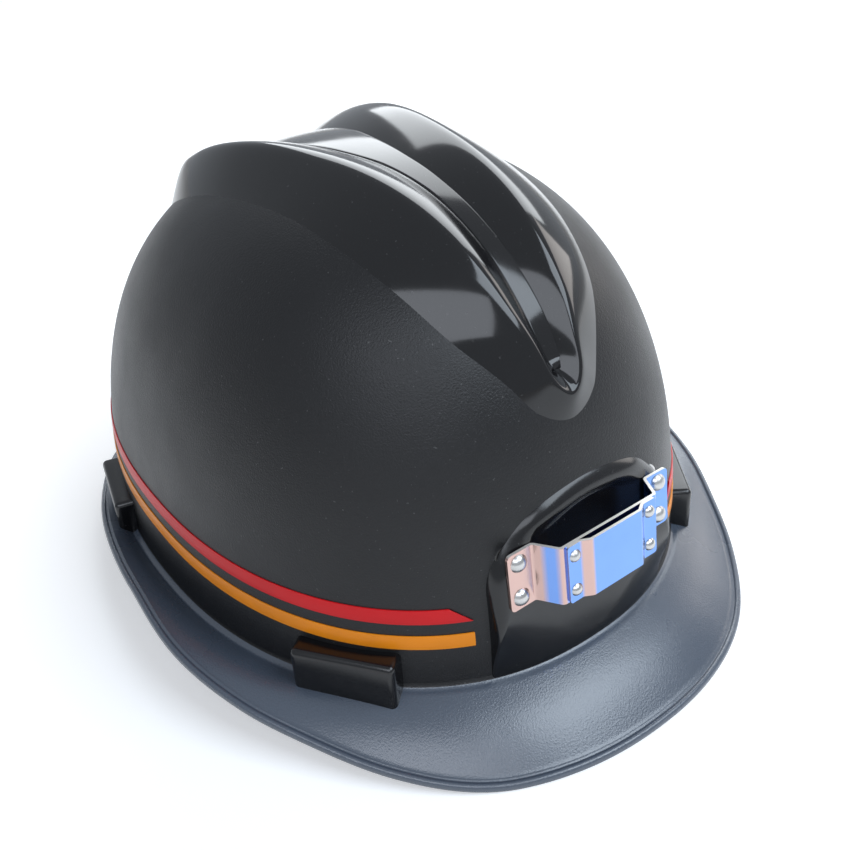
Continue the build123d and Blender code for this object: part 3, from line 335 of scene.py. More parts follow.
def pocket_stations(shell, pockets):
    """Place and side of each of the four pockets, with its point of the foot outline and the way outward."""
    for name, turn in (("front", pockets.front_turn), ("rear", pockets.rear_turn)):
        for side, heading in (("left", turn), ("right", pi - turn)):
            station, out = foot_station(shell, np.array([heading]))
            yield name, side, station[0], out[0]


def brim_plan(shell, turn):
    """Reach of the brim from the dome's foot, and the height of its edge, at each turn."""
    folded = np.degrees(np.arcsin(np.clip(np.sin(turn), -1, 1)))
    reach = (shell.visor_reach * curve_through(folded, BRIM_TURNS, VISOR_SHARES)
             + shell.neck_reach * curve_through(folded, BRIM_TURNS, NECK_SHARES))
    arch = np.clip(1 - (np.sin(turn) / 0.93) ** 2, 0, None) ** 1.3
    return reach, shell.side_lift * arch


def grid_mesh(name, points, closed_rows=False, closed_columns=True, poles=(False, False), caps=False,
              kinds=None):
    """Mesh of a grid of points: quads between neighbours, a fan at each pole or cap, normals outward.
    Its UV map holds the distances along its rows and its columns in metres."""
    rows, columns = points.shape[:2]
    index = np.arange(rows * columns).reshape(rows, columns)
    index = np.concatenate([index, index[:, :1]], 1) if closed_columns else index
    index = np.concatenate([index, index[:1]], 0) if closed_rows else index
    wide = np.concatenate([points, points[:, :1]], 1) if closed_columns else points
    wide = np.concatenate([wide, wide[:1]], 0) if closed_rows else wide
    step_u = np.linalg.norm(np.diff(wide, axis=0), axis=-1).max(1)
    step_v = np.linalg.norm(np.diff(wide, axis=1), axis=-1).max(0)
    way_u, way_v = np.append(0, np.cumsum(step_u)), np.append(0, np.cumsum(step_v))
    lay = np.stack(np.meshgrid(way_u, way_v, indexing="ij"), -1)

    def corners(grid):
        return np.stack([grid[:-1, :-1], grid[:-1, 1:], grid[1:, 1:], grid[1:, :-1]], 2)

    quads, quad_lay = corners(index), corners(lay)
    vertices = points.reshape(-1, 3)
    kinds = np.zeros(quads.shape[:2], int) if kinds is None else kinds
    faces, lays, slots = [], [], []
    first, last = (1 if poles[0] else 0), (len(quads) - 1 if poles[1] else len(quads))
    faces.append(quads[first:last].reshape(-1, 4))
    lays.append(quad_lay[first:last].reshape(-1, 4, 2))
    slots.append(kinds[first:last].ravel())
    for pole, row in ((poles[0], 0), (poles[1], len(quads) - 1)):
        if pole:
            ring = quads[row][:, [3, 2] if row == 0 else [0, 1]]
            apex = np.full((len(ring), 1), index[0, 0] if row == 0 else index[-1, 0])
            order = (0, 2, 1) if row == 0 else (0, 1, 2)
            faces.append(np.concatenate([ring, apex], 1)[:, order])
            lays.append(quad_lay[row][:, :3])
            slots.append(kinds[row])
    if caps:
        middles = points[[0, -1]].mean(1) if closed_columns else points[:, [0, -1]].mean(0)
        rings = (index[0], index[-1]) if closed_columns else (index[:, 0], index[:, -1])
        for ring, middle, flip in zip(rings, middles, (True, False) if closed_columns else (False, True)):
            pairs = np.stack([ring[:-1], ring[1:]], 1)
            pairs = pairs[:, ::-1] if flip else pairs
            hub = np.full((len(pairs), 1), len(vertices))
            faces.append(np.concatenate([pairs, hub], 1)[:, ::-1])
            lays.append(np.zeros((len(pairs), 3, 2)))
            slots.append(np.zeros(len(pairs), int))
            vertices = np.concatenate([vertices, middle[None]])
    return mesh_from(name, vertices, faces, lays, slots)


def mesh_from(name, vertices, faces, lays, slots):
    """Mesh from vertices and lists of face arrays, turned outward if its signed volume is negative."""
    volume = sum(np.einsum("ij,ij->", vertices[f[:, 0]], np.cross(vertices[f[:, i]], vertices[f[:, i + 1]]))
                 for f in faces for i in range(1, f.shape[1] - 1))
    if volume < 0:
        faces, lays = [f[:, ::-1] for f in faces], [way[:, ::-1] for way in lays]
    used = np.unique(np.concatenate([f.ravel() for f in faces]))
    renumber = np.zeros(len(vertices), int)
    renumber[used] = np.arange(len(used))
    loops = renumber[np.concatenate([f.ravel() for f in faces])]
    sizes = np.concatenate([np.full(len(f), f.shape[1]) for f in faces])
    mesh = built(name, vertices[used], loops, sizes, np.concatenate(slots),
                 np.concatenate([way.reshape(-1, 2) for way in lays]))
    if mesh.validate():
        raise RuntimeError(f"{name} has a broken face")
    return mesh


def built(name, vertices, loops, sizes, slots, lay):
    """Mesh from arrays: its vertices, each corner's vertex and lay, and each face's corners and slot."""
    mesh = bpy.data.meshes.new(name)
    mesh.vertices.add(len(vertices))
    mesh.vertices.foreach_set("co", vertices.astype(np.float32).ravel())
    mesh.loops.add(len(loops))
    mesh.loops.foreach_set("vertex_index", loops.astype(np.int32))
    mesh.polygons.add(len(sizes))
    mesh.polygons.foreach_set("loop_start", np.append(0, np.cumsum(sizes)[:-1]).astype(np.int32))
    mesh.polygons.foreach_set("material_index", slots.astype(np.int32))
    mesh.polygons.foreach_set("use_smooth", np.ones(len(sizes), bool))
    mesh.update(calc_edges=True)
    mesh.uv_layers.new(name="lay").data.foreach_set("uv", lay.astype(np.float32).ravel())
    return mesh


def values_of(items, field, width=1, kind=np.float32):
    """One field of all vertices, corners or faces of a mesh, as an array."""
    values = np.zeros(len(items) * width, kind)
    items.foreach_get(field, values)
    return values if width == 1 else values.reshape(-1, width)


def place(mesh, materials, body="helmet", stands_for=(), smooth_below=None):
    """Puts a finished mesh in the scene, gives it its materials and lets it ride on a body."""
    piece = bpy.data.objects.new(mesh.name, mesh)
    bpy.context.scene.collection.objects.link(piece)
    for material in materials:
        mesh.materials.append(material)
    if smooth_below:
        mesh.set_sharp_from_angle(angle=radians(smooth_below))
    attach(piece, body)
    if stands_for:
        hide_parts(*stands_for)
    return piece


def joined(name, meshes):
    """One mesh from several, their vertices and faces put one after the other."""
    vertices, loops, sizes, slots, lays, start = [], [], [], [], [], 0
    for mesh in meshes:
        vertices.append(values_of(mesh.vertices, "co", 3))
        loops.append(values_of(mesh.loops, "vertex_index", kind=np.int32) + start)
        sizes.append(values_of(mesh.polygons, "loop_total", kind=np.int32))
        slots.append(values_of(mesh.polygons, "material_index", kind=np.int32))
        lays.append(values_of(mesh.uv_layers[0].data, "uv", 2))
        start += len(mesh.vertices)
        bpy.data.meshes.remove(mesh)
    return built(name, *(np.concatenate(part) for part in (vertices, loops, sizes, slots, lays)))


def rounded_outline(width, tall, corner, inset, each=8, between=6):
    """Closed rounded rectangle, drawn in by an inset: four quarter arcs joined by divided straight runs."""
    corner = max(corner - inset, 0.0001)
    half = np.array([width / 2 - inset - corner, tall / 2 - inset - corner])
    arcs, parts = [], []
    for quarter, sign in enumerate(((1, 1), (-1, 1), (-1, -1), (1, -1))):
        angle = np.linspace(quarter, quarter + 1, each) * pi / 2
        arcs.append(half * sign + corner * np.stack([np.cos(angle), np.sin(angle)], -1))
    share = np.linspace(0, 1, between + 2)[1:-1, None]
    for arc, following in zip(arcs, arcs[1:] + arcs[:1]):
        parts += [arc, arc[-1] + (following[0] - arc[-1]) * share]
    return np.concatenate(parts)


def eased(value, low, high):
    """Smooth step: 0 below the low value, 1 above the high one, and a cubic ease between them."""
    share = np.clip((value - low) / (high - low), 0, 1)
    return share**2 * (3 - 2 * share)


def arched_shoulder(panel):
    """Round of the panel's edge at each point of its outline: small along the lower edge and the feet of the
    sides, growing up each side to the full shoulder of the arch."""
    side = 0.6 * eased(np.linspace(0, 1, PANEL_SIDE), 0.5, 1)
    arch = 0.6 + 0.4 * eased(np.sin(np.linspace(0, pi, PANEL_ARCH + 2)[1:-1]), 0, 0.6)
    grow = np.concatenate([side, arch, side[::-1], np.zeros(PANEL_LOW)])
    return panel.side_round + (panel.shoulder - panel.side_round) * grow


def arched_outline(panel, share):
    """Closed arch drawn in by a share of its shoulder: two straight sides, half an ellipse over them, and a
    straight lower edge that keeps its place."""
    inset = arched_shoulder(panel) * share
    half, rise = panel.half_width - inset, (panel.arch_rise - inset)[PANEL_SIDE:PANEL_SIDE + PANEL_ARCH]
    side = np.linspace(panel.low, panel.spring, PANEL_SIDE)
    angle = np.linspace(0, pi, PANEL_ARCH + 2)[1:-1]
    across = np.concatenate([np.ones(PANEL_SIDE), np.cos(angle), -np.ones(PANEL_SIDE),
                             np.linspace(-1, 1, PANEL_LOW + 2)[1:-1]])
    up = np.concatenate([side, panel.spring + rise * np.sin(angle), side[::-1],
                         np.full(PANEL_LOW, panel.low)])
    return np.stack([half * across, up], -1)


def boss(shell, name, origin, across, up, outline, shoulder, bend=None, deep=0.002, limit=0.0016, far=0.03):
    """Raised boss on the dome: a face, a quarter-round shoulder, sides that go back into the wall, and a
    hidden back that follows the dome. Each row is the outline, drawn in or scaled, at one depth behind the
    face. A bend gives how far each point of the face lies behind the flat one. The sides run back by far at
    most and end at the limit's depth in the wall, and the hidden back lies deep in it."""
    across, up = np.asarray(across, float), np.asarray(up, float)
    out = np.cross(across, up)
    middle = outline(0.0).mean(0)
    shoulder = np.broadcast_to(shoulder, len(outline(0.0)))

    def row(share, scale=1.0):
        plan = middle + (outline(share) - middle) * scale
        return origin + plan[:, :1] * across + plan[:, 1:] * up

    def sunk(points, most, grow):
        reach = travel_to_dome(shell, points, -out, -0.008, far, grow)
        behind = 0 if bend is None else bend(points)
        return points - out * np.minimum(most + behind, reach)[:, None]

    rows = [sunk(row(1.0, scale), 0, -limit) for scale in np.sin(np.linspace(0, pi / 2, 32))]
    for angle in np.linspace(0, pi / 2, 9)[1:]:
        rows.append(sunk(row(1 - sin(angle)), shoulder * (1 - cos(angle)), -limit))
    start, end = rows[-1], sunk(row(0.0), far, -limit)
    rows += [start + (end - start) * share for share in (0.33, 0.66, 1.0)]
    rows += [sunk(row(0.0, scale), far, -deep) for scale in np.linspace(1, 0, 10)]
    return grid_mesh(name, np.stack(rows), poles=(True, True))


# Materials


def add(tree, kind, inputs=None, **settings):
    """Adds a node with its settings. Its inputs are numbers, or other nodes' sockets, which are linked."""
    made = tree.nodes.new("ShaderNode" + kind)
    for name, value in settings.items():
        setattr(made, name, value)
    for name, value in (inputs or {}).items():
        if isinstance(value, bpy.types.NodeSocket):
            tree.links.new(value, made.inputs[name])
        else:
            made.inputs[name].default_value = value
    return made


def new_material(name):
    """Node material with nothing in it yet."""
    material = bpy.data.materials.new(name)
    material.use_nodes = True
    material.node_tree.nodes.clear()
    return material, material.node_tree


def surfaced(material, shader):
    """Gives a material its surface shader."""
    tree = material.node_tree
    tree.links.new(shader.outputs[0], add(tree, "OutputMaterial").inputs["Surface"])
    return material


def looked_at(tree):
    """One for rays that look at a surface, straight or by way of gloss or glass, and nought for the rest."""
    ray = add(tree, "LightPath")
    seen = add(tree, "Math", {0: ray.outputs["Is Camera Ray"], 1: ray.outputs["Is Glossy Ray"]},
               operation="MAXIMUM").outputs[0]
    return add(tree, "Math", {0: seen, 1: ray.outputs["Is Transmission Ray"]}, operation="MAXIMUM").outputs[0]


def rgba(value, scale=1.0):
    return (*(min(1.0, c * scale) for c in value[:3]), 1.0)


def moulded(name, tone, roughness, grain, height, strength, haze=0.06, dust=0.0, specular=0.5):
    """Moulded plastic. Noise at the grain's size lifts the surface, a broad noise varies the gloss by the
    haze as handling does, and a sparse fine noise leaves specks of dust."""
    material, tree = new_material(name)
    place_of = add(tree, "TexCoord").outputs["Object"]
    fine = add(tree, "TexNoise", {"Vector": place_of, "Scale": 1 / grain, "Detail": 2.0, "Roughness": 0.6})
    broad = add(tree, "TexNoise", {"Vector": place_of, "Scale": 22.0, "Detail": 4.0, "Roughness": 0.6})
    sheen = add(tree, "MapRange", {"Value": broad.outputs["Fac"], "From Min": 0.3, "From Max": 0.7,
                                   "To Min": roughness - haze, "To Max": roughness + haze})
    bump = add(tree, "Bump", {"Height": fine.outputs["Fac"], "Distance": height, "Strength": strength})
    base = add(tree, "Mix", {0: fine.outputs["Fac"], 6: rgba(tone, 0.88), 7: rgba(tone, 1.15)},
               data_type="RGBA").outputs[2]
    if dust:
        specks = add(tree, "TexNoise", {"Vector": place_of, "Scale": 950.0, "Detail": 1.0})
        patch = add(tree, "MapRange", {"Value": specks.outputs["Fac"], "From Min": 0.74, "From Max": 0.80,
                                       "To Min": 0.0, "To Max": dust})
        base = add(tree, "Mix", {0: patch.outputs["Result"], 6: base, 7: (0.20, 0.20, 0.20, 1)},
                   data_type="RGBA").outputs[2]
    shader = add(tree, "BsdfPrincipled", {"Base Color": base, "Roughness": sheen.outputs["Result"],
                                          "IOR": 1.5, "Specular IOR Level": specular,
                                          "Normal": bump.outputs["Normal"]})
    return surfaced(material, shader)


def plated(name, tone, roughness, mark, strength, brown_reflection=None, reflection_bands=(), top_highlight=None):
    """Plated or drawn metal. Stretched noise leaves fine rolling marks, and a broad noise dulls the plating
    in patches. A painted brown reflection lies across the sheet in bands, given as places across the helmet,
    and a painted highlight, near white, on faces that look upwards, which are the sheet's sheared edges."""
    material, tree = new_material(name)
    place_of = add(tree, "TexCoord").outputs["Object"]
    drawn = add(tree, "Mapping", {"Vector": place_of, "Scale": (0.06, 1.0, 1.0)})
    marks = add(tree, "TexNoise", {"Vector": drawn.outputs[0], "Scale": 1 / mark, "Detail": 3.0})
    broad = add(tree, "TexNoise", {"Vector": place_of, "Scale": 90.0, "Detail": 5.0})
    dull = add(tree, "MapRange", {"Value": broad.outputs["Fac"], "From Min": 0.3, "From Max": 0.75,
                                  "To Min": roughness * 0.7, "To Max": roughness * 1.5})
    bump = add(tree, "Bump", {"Height": marks.outputs["Fac"], "Distance": 0.00002, "Strength": strength})
    tint = add(tree, "Mix", {0: broad.outputs["Fac"], 6: rgba(tone, 0.86), 7: rgba(tone)},
               data_type="RGBA").outputs[2]
    # Painted brown reflection: the bands across the sheet take the brown tint
    if reflection_bands:
        across = add(tree, "SeparateXYZ", {"Vector": place_of}).outputs[0]
        total, soft = 0.0, 0.0005
        for low, high in reflection_bands:
            rising = add(tree, "MapRange", {"Value": across, "From Min": low - soft, "From Max": low + soft})
            falling = add(tree, "MapRange", {"Value": across, "From Min": high - soft,
                                             "From Max": high + soft, "To Min": 1.0, "To Max": 0.0})
            band = add(tree, "Math", {0: rising.outputs[0], 1: falling.outputs[0]}, operation="MULTIPLY")
            total = add(tree, "Math", {0: band.outputs[0], 1: total}, operation="ADD").outputs[0]
        tint = add(tree, "Mix", {0: total, 6: tint, 7: rgba(brown_reflection)}, data_type="RGBA").outputs[2]
    polish = dull.outputs["Result"]
    if top_highlight:
        # Painted highlight: faces that look upwards are tinted near white and made less glossy
        upward = add(tree, "SeparateXYZ", {"Vector": add(tree, "TexCoord").outputs["Normal"]}).outputs[2]
        edge = add(tree, "MapRange", {"Value": upward, "From Min": 0.6, "From Max": 0.9}).outputs[0]
        tint = add(tree, "Mix", {0: edge, 6: tint, 7: rgba(top_highlight)}, data_type="RGBA").outputs[2]
        polish = add(tree, "Mix", {0: edge, 2: polish, 3: 0.55}, data_type="FLOAT").outputs[0]
    shader = add(tree, "BsdfPrincipled", {"Base Color": tint, "Metallic": 1.0, "Roughness": polish,
                                          "Normal": bump.outputs["Normal"]})
    return surfaced(material, shader)


def tape_film(name, tone):
    """Self-adhesive vinyl tape: a half-gloss film, faintly mottled, that shows the grain below it."""
    material, tree = new_material(name)
    place_of = add(tree, "TexCoord").outputs["Object"]
    fine = add(tree, "TexNoise", {"Vector": place_of, "Scale": 1 / 0.0011, "Detail": 2.0})
    broad = add(tree, "TexNoise", {"Vector": place_of, "Scale": 60.0, "Detail": 3.0})
    tint = add(tree, "Mix", {0: broad.outputs["Fac"], 6: rgba(tone, 0.85), 7: rgba(tone, 1.1)},
               data_type="RGBA")
    bump = add(tree, "Bump", {"Height": fine.outputs["Fac"], "Distance": 0.00003, "Strength": 0.25})
    shader = add(tree, "BsdfPrincipled", {"Base Color": tint.outputs[2], "Roughness": 0.36, "IOR": 1.36,
                                          "Normal": bump.outputs["Normal"]})
    return surfaced(material, shader)


def woven(name, tone, across, along, height, roughness=0.85, sheen=0.25):
    """Woven or knitted fabric. Two waves on the piece's own lay, one along it and one across, raise the
    threads where they meet, and a noise varies the yarn."""
    material, tree = new_material(name)
    lay = add(tree, "UVMap", uv_map="lay").outputs[0]
    warp = add(tree, "TexWave", {"Vector": lay, "Scale": WAVE_PER_METRE / across, "Distortion": 0.4},
               wave_type="BANDS", bands_direction="Y")
    weft = add(tree, "TexWave", {"Vector": lay, "Scale": WAVE_PER_METRE / along, "Distortion": 0.4},
               wave_type="BANDS", bands_direction="X")
    crossed = add(tree, "Math", {0: warp.outputs["Fac"], 1: weft.outputs["Fac"]}, operation="MULTIPLY")
    yarn = add(tree, "TexNoise", {"Vector": lay, "Scale": 700.0, "Detail": 3.0})
    raised = add(tree, "Math", {0: crossed.outputs[0], 1: yarn.outputs["Fac"]}, operation="ADD")
    bump = add(tree, "Bump", {"Height": raised.outputs[0], "Distance": height, "Strength": 0.6})
    tint = add(tree, "Mix", {0: crossed.outputs[0], 6: rgba(tone, 0.6), 7: rgba(tone, 1.35)},
               data_type="RGBA")
    shader = add(tree, "BsdfPrincipled", {"Base Color": tint.outputs[2], "Roughness": roughness,
                                          "Sheen Weight": sheen, "Sheen Roughness": 0.4,
                                          "Normal": bump.outputs["Normal"]})
    return surfaced(material, shader)


def finish_of(name):
    """The helmet's materials, each made once and then reused."""
    if name in bpy.data.materials:
        return bpy.data.materials[name]
    tone = bpy.context.scene.helmet_finish
    # Places across the helmet of the bands of painted brown reflection on the bracket, on its -X side only
    reflection_bands = ((-0.05, -0.0226), (-0.0205, -0.0187), (-0.0132, -0.0098))
    recipes = {
        # ABS from a spark-eroded mould: matte, with a fine even grain that glitters at a low angle
        "matte_abs_spark_textured": lambda n: moulded(n, tone.shell, 0.42, 0.0006, 0.00016, 1.0, dust=0.25,
                                                      specular=0.40),
        # ABS from a polished mould: deep gloss with a few rubbed patches
        "gloss_abs_polished_mould": lambda n: moulded(n, tone.gloss, 0.10, 0.004, 0.00004, 0.1, haze=0.03,
                                                      dust=0.2),
        # Semi-gloss ABS from a vapour-blasted mould, on the lamp panel and the pockets
        "semi_gloss_abs_panel": lambda n: moulded(n, tone.gloss, 0.20, 0.0008, 0.00003, 0.3, haze=0.03,
                                                  dust=0.15),
        # The same ABS on the brim: lower gloss than the ridges, finer grain than the dome; its tone is lifted
        # to a blue grey as a painted sheen of the sky
        "satin_abs_brim_sky_sheen": lambda n: moulded(n, tone.brim, 0.27, 0.0006, 0.00010, 0.8, haze=0.015, dust=0.1,
                                            specular=0.9),
        # Inner side of the moulding, left as the core of the mould gave it
        "satin_abs_inside": lambda n: moulded(n, tone.shell, 0.5, 0.002, 0.00004, 0.3),
        # Pressed sheet steel, zinc-plated: its strong blue on the flats is a painted reflection of a blue
        # sky, the brown at bends and flanges on one side is a painted reflection, and its upward edges carry
        # a painted highlight
        "plated_sheet_steel_painted_reflections": lambda n: plated(n, tone.steel_sky_tint, 0.16, 0.0004, 0.25, tone.brown_reflection, reflection_bands,
                                                    tone.top_edge_highlight),
        # The cord clip, of the same sheet, evenly painted blue as a reflection of a blue sky, with a painted
        # highlight on its upward edges
        "plated_clip_painted_reflections": lambda n: plated(n, tone.steel_sky_tint, 0.18, 0.0004, 0.25, top_highlight=tone.top_edge_highlight),
        # Aluminium rivets with set heads: softer and greyer than the plated sheet
        "aluminium_rivet": lambda n: plated(n, tone.rivet, 0.26, 0.0012, 0.2),
        # Vinyl tapes
        "orange_vinyl_tape": lambda n: tape_film(n, tone.orange),
        "red_vinyl_tape": lambda n: tape_film(n, tone.red),
        # Polyester webbing, woven in 1.1 mm ribs
        "polyester_webbing": lambda n: woven(n, tone.webbing, 0.0011, 0.0016, 0.00018),
        # Knitted polyester over foam, with loops of about 0.9 mm
        "knitted_pad_cover": lambda n: woven(n, tone.fabric, 0.0009, 0.0009, 0.0001, 0.9, 0.35),
        # Nylon or polyethylene mouldings of the harness: satin and a little waxy
        "moulded_nylon_harness": lambda n: moulded(n, tone.nylon, 0.42, 0.0016, 0.00004, 0.3),
        # Knob, from a finely textured mould
        "moulded_knob_textured": lambda n: moulded(n, tone.nylon, 0.5, 0.0007, 0.00006, 0.5),
        # Natural acetal gear and spring: pale, slippery, half gloss
        "natural_acetal": lambda n: moulded(n, tone.acetal, 0.3, 0.003, 0.00003, 0.2),
        # Zinc-plated screw
        "zinc_plated_screw": lambda n: plated(n, tone.rivet, 0.3, 0.0006, 0.3),
    }
    return recipes[name](name)


def dress(nodes, material):
    """Gives CAD nodes their finished material, in place of the plain one that they came with."""
    for name in nodes:
        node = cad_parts[name]
        node.data.materials.clear()
        node.data.materials.append(finish_of(material))


# The pieces


class HELMET_OT_shell(Operator):
    """Dome and brim: one closed surface, in rows round the helmet from the crown to its inside"""
    bl_idname = "helmet.shell"
    bl_label = "Dome and brim"

    def execute(self, context):
        shell, panel = context.scene.helmet_shell, context.scene.helmet_panel
        turn = np.arange(480) / 480 * 2 * pi
        station, out = foot_station(shell, turn)
        reach, edge = brim_plan(shell, turn)
        flare, lip, root = 0.003, 0.0032, 0.0026
        dome_rows, inner_rows, matte_fillet = 90, 46, 3

        def at(distance, up):
            plan = station + out * distance[..., None]
            return np.concatenate([plan, np.broadcast_to(up, plan.shape[:-1])[..., None]], -1)

        def top(distance):
            slope = (edge + shell.brim_wall - shell.foot) / (reach - lip - flare)
            return shell.foot + (np.minimum(distance, reach - lip) - flare) * slope

        # Outer dome from the crown down to just over the foot, trimmed behind the lamp panel
        low = np.arcsin((0.0026 / shell.rise) ** (shell.profile_power / 2))
        outer = dome_points(shell, turn[None], np.linspace(pi / 2, low, dome_rows)[:, None])
        face = shell.middle - panel.reach + (outer[..., 2] - panel.height) * np.tan(panel.lean) + 0.0003
        hidden = (np.abs(outer[..., 0]) < panel.half_width) & (outer[..., 1] < face)
        outer[..., 1] = np.where(hidden, face, outer[..., 1])
        rows = [outer]
        # Fillet at the foot: a quadratic curve from the wall to the brim
        start, bend, end = outer[-1], at(0 * reach, shell.foot + 0.0006), at(0 * reach + root, top(root))
        rows += [(start * (1 - s) ** 2 + bend * (2 * s * (1 - s)) + end * s**2)[None]
                 for s in np.linspace(0, 1, 9)[1:]]
        # Upper side of the brim, swollen a little, then a groove and a rounded lip
        for s in np.linspace(0, 1, 26)[1:]:
            distance = root + (reach - 0.0034 - root) * s
            bulge = shell.brim_bulge * sin(pi * s) * reach / shell.visor_reach
            rows.append(at(distance, top(distance) + bulge)[None])
        for inset, up in LIP_SECTION:
            distance = reach - inset * MM
            rows.append(at(distance, top(distance) + up * MM)[None])
        # Underside, then the bottom of the foot
        for s in np.linspace(0, 1, 14):
            distance = (reach - lip) * (1 - s)
            rows.append(at(distance, edge + (shell.foot - shell.brim_wall - edge) * s)[None])
        inner = dome_points(shell, turn[None], np.array([[0.0]]), -shell.wall)
        under = at(0 * reach, 0 * reach + shell.foot - shell.brim_wall)
        for s, up in ((0.4, 0), (0.85, 0.05), (1, 0.6)):
            row = under * (1 - s) + inner[0] * s
            row[:, 2] = shell.foot - shell.brim_wall + up * MM
            rows.append(row[None])
        rows.append(dome_points(shell, turn[None], np.linspace(0, pi / 2, inner_rows)[:, None], -shell.wall))
        points = np.concatenate(rows)
        # Which finish each face has: the dome's, down to the top of its fillet, the brim's or the inside's
        kinds = np.zeros((len(points) - 1, len(turn)), int)
        kinds[dome_rows + matte_fillet:-inner_rows] = 1
        kinds[-inner_rows:] = 2
        mesh = grid_mesh("dome_and_brim", points, poles=(True, True), kinds=kinds)
        place(mesh, [finish_of("matte_abs_spark_textured"), finish_of("satin_abs_brim_sky_sheen"),
                     finish_of("satin_abs_inside")], stands_for=["shell"])
        return {"FINISHED"}


class HELMET_OT_raised_v(Operator):
    """Raised V: two ridges that meet in a tip over the peak, and the polished groove between them"""
    bl_idname = "helmet.raised_v"
    bl_label = "Raised V"

    def execute(self, context):
        shell, ridges = context.scene.helmet_shell, context.scene.helmet_ridges
        scale = np.array([ridges.plan_width, ridges.plan_length])
        mirror = np.array([-1, 1])
        last = len(INNER_EDGE) - 1
        places = np.arange(-last, last + 1)
        inner_edge, outer_edge = np.array(INNER_EDGE) * scale, np.array(OUTER_EDGE) * scale
        inner_both = np.concatenate([inner_edge[:0:-1] * mirror, inner_edge])
        outer_both = np.concatenate([outer_edge[:0:-1] * mirror, outer_edge])
        run = np.linspace(-last, last, 2 * last * 16 + 1)
        start, end = curve_through(run, places, inner_both), curve_through(run, places, outer_both)
        rise = ridges.rise * curve_through(run, places, RIDGE_RISES[:0:-1] + RIDGE_RISES)
        crest = curve_through(run, places, CREST_PLACES[:0:-1] + CREST_PLACES)

        def lifted(share, lift):
            return off_dome(shell, start[:, None] + (end - start)[:, None] * share[None, :, None], lift)

        # Two flat flanks meet in a rounded crest: the smaller of two slopes, smoothed where they cross
        share = np.linspace(0, 1, 72)
        near = share[None] / crest[:, None]
        far = (1 - share[None]) / (1 - crest[:, None])
        soft = ridges.crest_round
        form = (near + far - np.sqrt((near - far) ** 2 + 4 * soft**2)) / 2 / (1 - soft)
        over = lifted(share, (rise[:, None] + ridges.sink) * form - ridges.sink)
        under = lifted(np.linspace(1, 0, 12), np.full((len(run), 12), -BURIED))
        mesh = grid_mesh("raised_v", np.concatenate([over, under], 1), caps=True)
        place(mesh, [finish_of("gloss_abs_polished_mould")])

        # Polished floor of the groove between the ridges: a thin skin whose edges sink under them, its rear
        # edge bowed back by a parabola
        along = np.linspace(0, 1, 90)[:, None]
        across = np.linspace(-1, 1, 33)
        front, back = ridges.floor_front, ridges.floor_back + ridges.floor_bow * (1 - across**2)
        place_y = front + (back - front) * along
        half = np.interp(place_y, inner_edge[:, 1], inner_edge[:, 0]) + ridges.floor_overlap
        plan = np.stack([half * across, place_y], -1)
        edge = np.minimum(1, np.minimum(1 - np.abs(across), 1 - along) * 12)
        skin = off_dome(shell, plan, ridges.floor_stand * np.sqrt(edge))
        hidden = off_dome(shell, plan[:, ::-1], np.full(place_y.shape, -BURIED))
        mesh = grid_mesh("groove_floor", np.concatenate([skin, hidden], 1), caps=True)
        place(mesh, [finish_of("gloss_abs_polished_mould")])
        return {"FINISHED"}


class HELMET_OT_lamp_panel(Operator):
    """Arched panel that carries the lamp bracket, with a low hood over it"""
    bl_idname = "helmet.lamp_panel"
    bl_label = "Lamp panel"

    def execute(self, context):
        shell, panel = context.scene.helmet_shell, context.scene.helmet_panel
        origin = np.array([0, shell.middle - panel.reach, panel.height])

        def bend(points):
            """Under the bracket the face turns from flat to the curve of the dome's foot outline. Over it a
            hood rises along the arch, where the elliptic radius is near one."""
            above = points[:, 2] - origin[2]
            radius = np.hypot(points[:, 0] / panel.half_width, (above - panel.spring) / panel.arch_rise)
            hood = panel.hood * eased(radius, 0.66, 0.75) * eased(above, panel.hood_low, panel.hood_full)
            flat = origin[1] + above * np.tan(panel.lean)
            run = (1 - np.abs(points[:, 0] / shell.half_width) ** shell.plan_power) ** (1 / shell.plan_power)
            foot = shell.middle - shell.front * run - panel.foot_stand
            curved = 1 - eased(points[:, 2], panel.curved_below, panel.flat_above)
            return np.maximum(foot - flat, 0) * curved - hood

        mesh = boss(shell, "lamp_panel", origin, (1, 0, 0), (0, sin(panel.lean), cos(panel.lean)),
                    lambda share: arched_outline(panel, share), arched_shoulder(panel), bend)
        place(mesh, [finish_of("semi_gloss_abs_panel")])
        return {"FINISHED"}


class HELMET_OT_cord_pad(Operator):
    """Rounded pad at the nape that carries the cord clip"""
    bl_idname = "helmet.cord_pad"
    bl_label = "Cord pad"

    def execute(self, context):
        shell, panel = context.scene.helmet_shell, context.scene.helmet_panel
        origin = np.array([0, shell.middle + panel.pad_reach, panel.pad_height])
        mesh = boss(shell, "cord_pad", origin, (-1, 0, 0), (0, -sin(panel.pad_lean), cos(panel.pad_lean)),
                    lambda share: rounded_outline(panel.pad_width, panel.pad_tall, 0.008,
                                                  panel.pad_round * share), panel.pad_round)
        place(mesh, [finish_of("gloss_abs_polished_mould")])
        return {"FINISHED"}


class HELMET_OT_pockets(Operator):
    """Four polished pockets on the foot of the dome, into which the harness keys plug"""
    bl_idname = "helmet.pockets"
    bl_label = "Harness pockets"

    def execute(self, context):
        shell, pockets = context.scene.helmet_shell, context.scene.helmet_pockets
        tops = {"front": pockets.front_top, "rear": pockets.rear_top}
        for name, side, station, out in pocket_stations(shell, pockets):
            tall = tops[name] - pockets.low
            origin = np.array([*(station + out * pockets.stand), (pockets.low + tops[name]) / 2])
            mesh = boss(shell, f"{name}_{side}_pocket", origin, (-out[1], out[0], 0), (0, 0, 1),
                        lambda share: rounded_outline(pockets.width, tall, 0.002, pockets.round * share),
                        pockets.round, far=0.02)
            place(mesh, [finish_of("semi_gloss_abs_panel")])
        return {"FINISHED"}


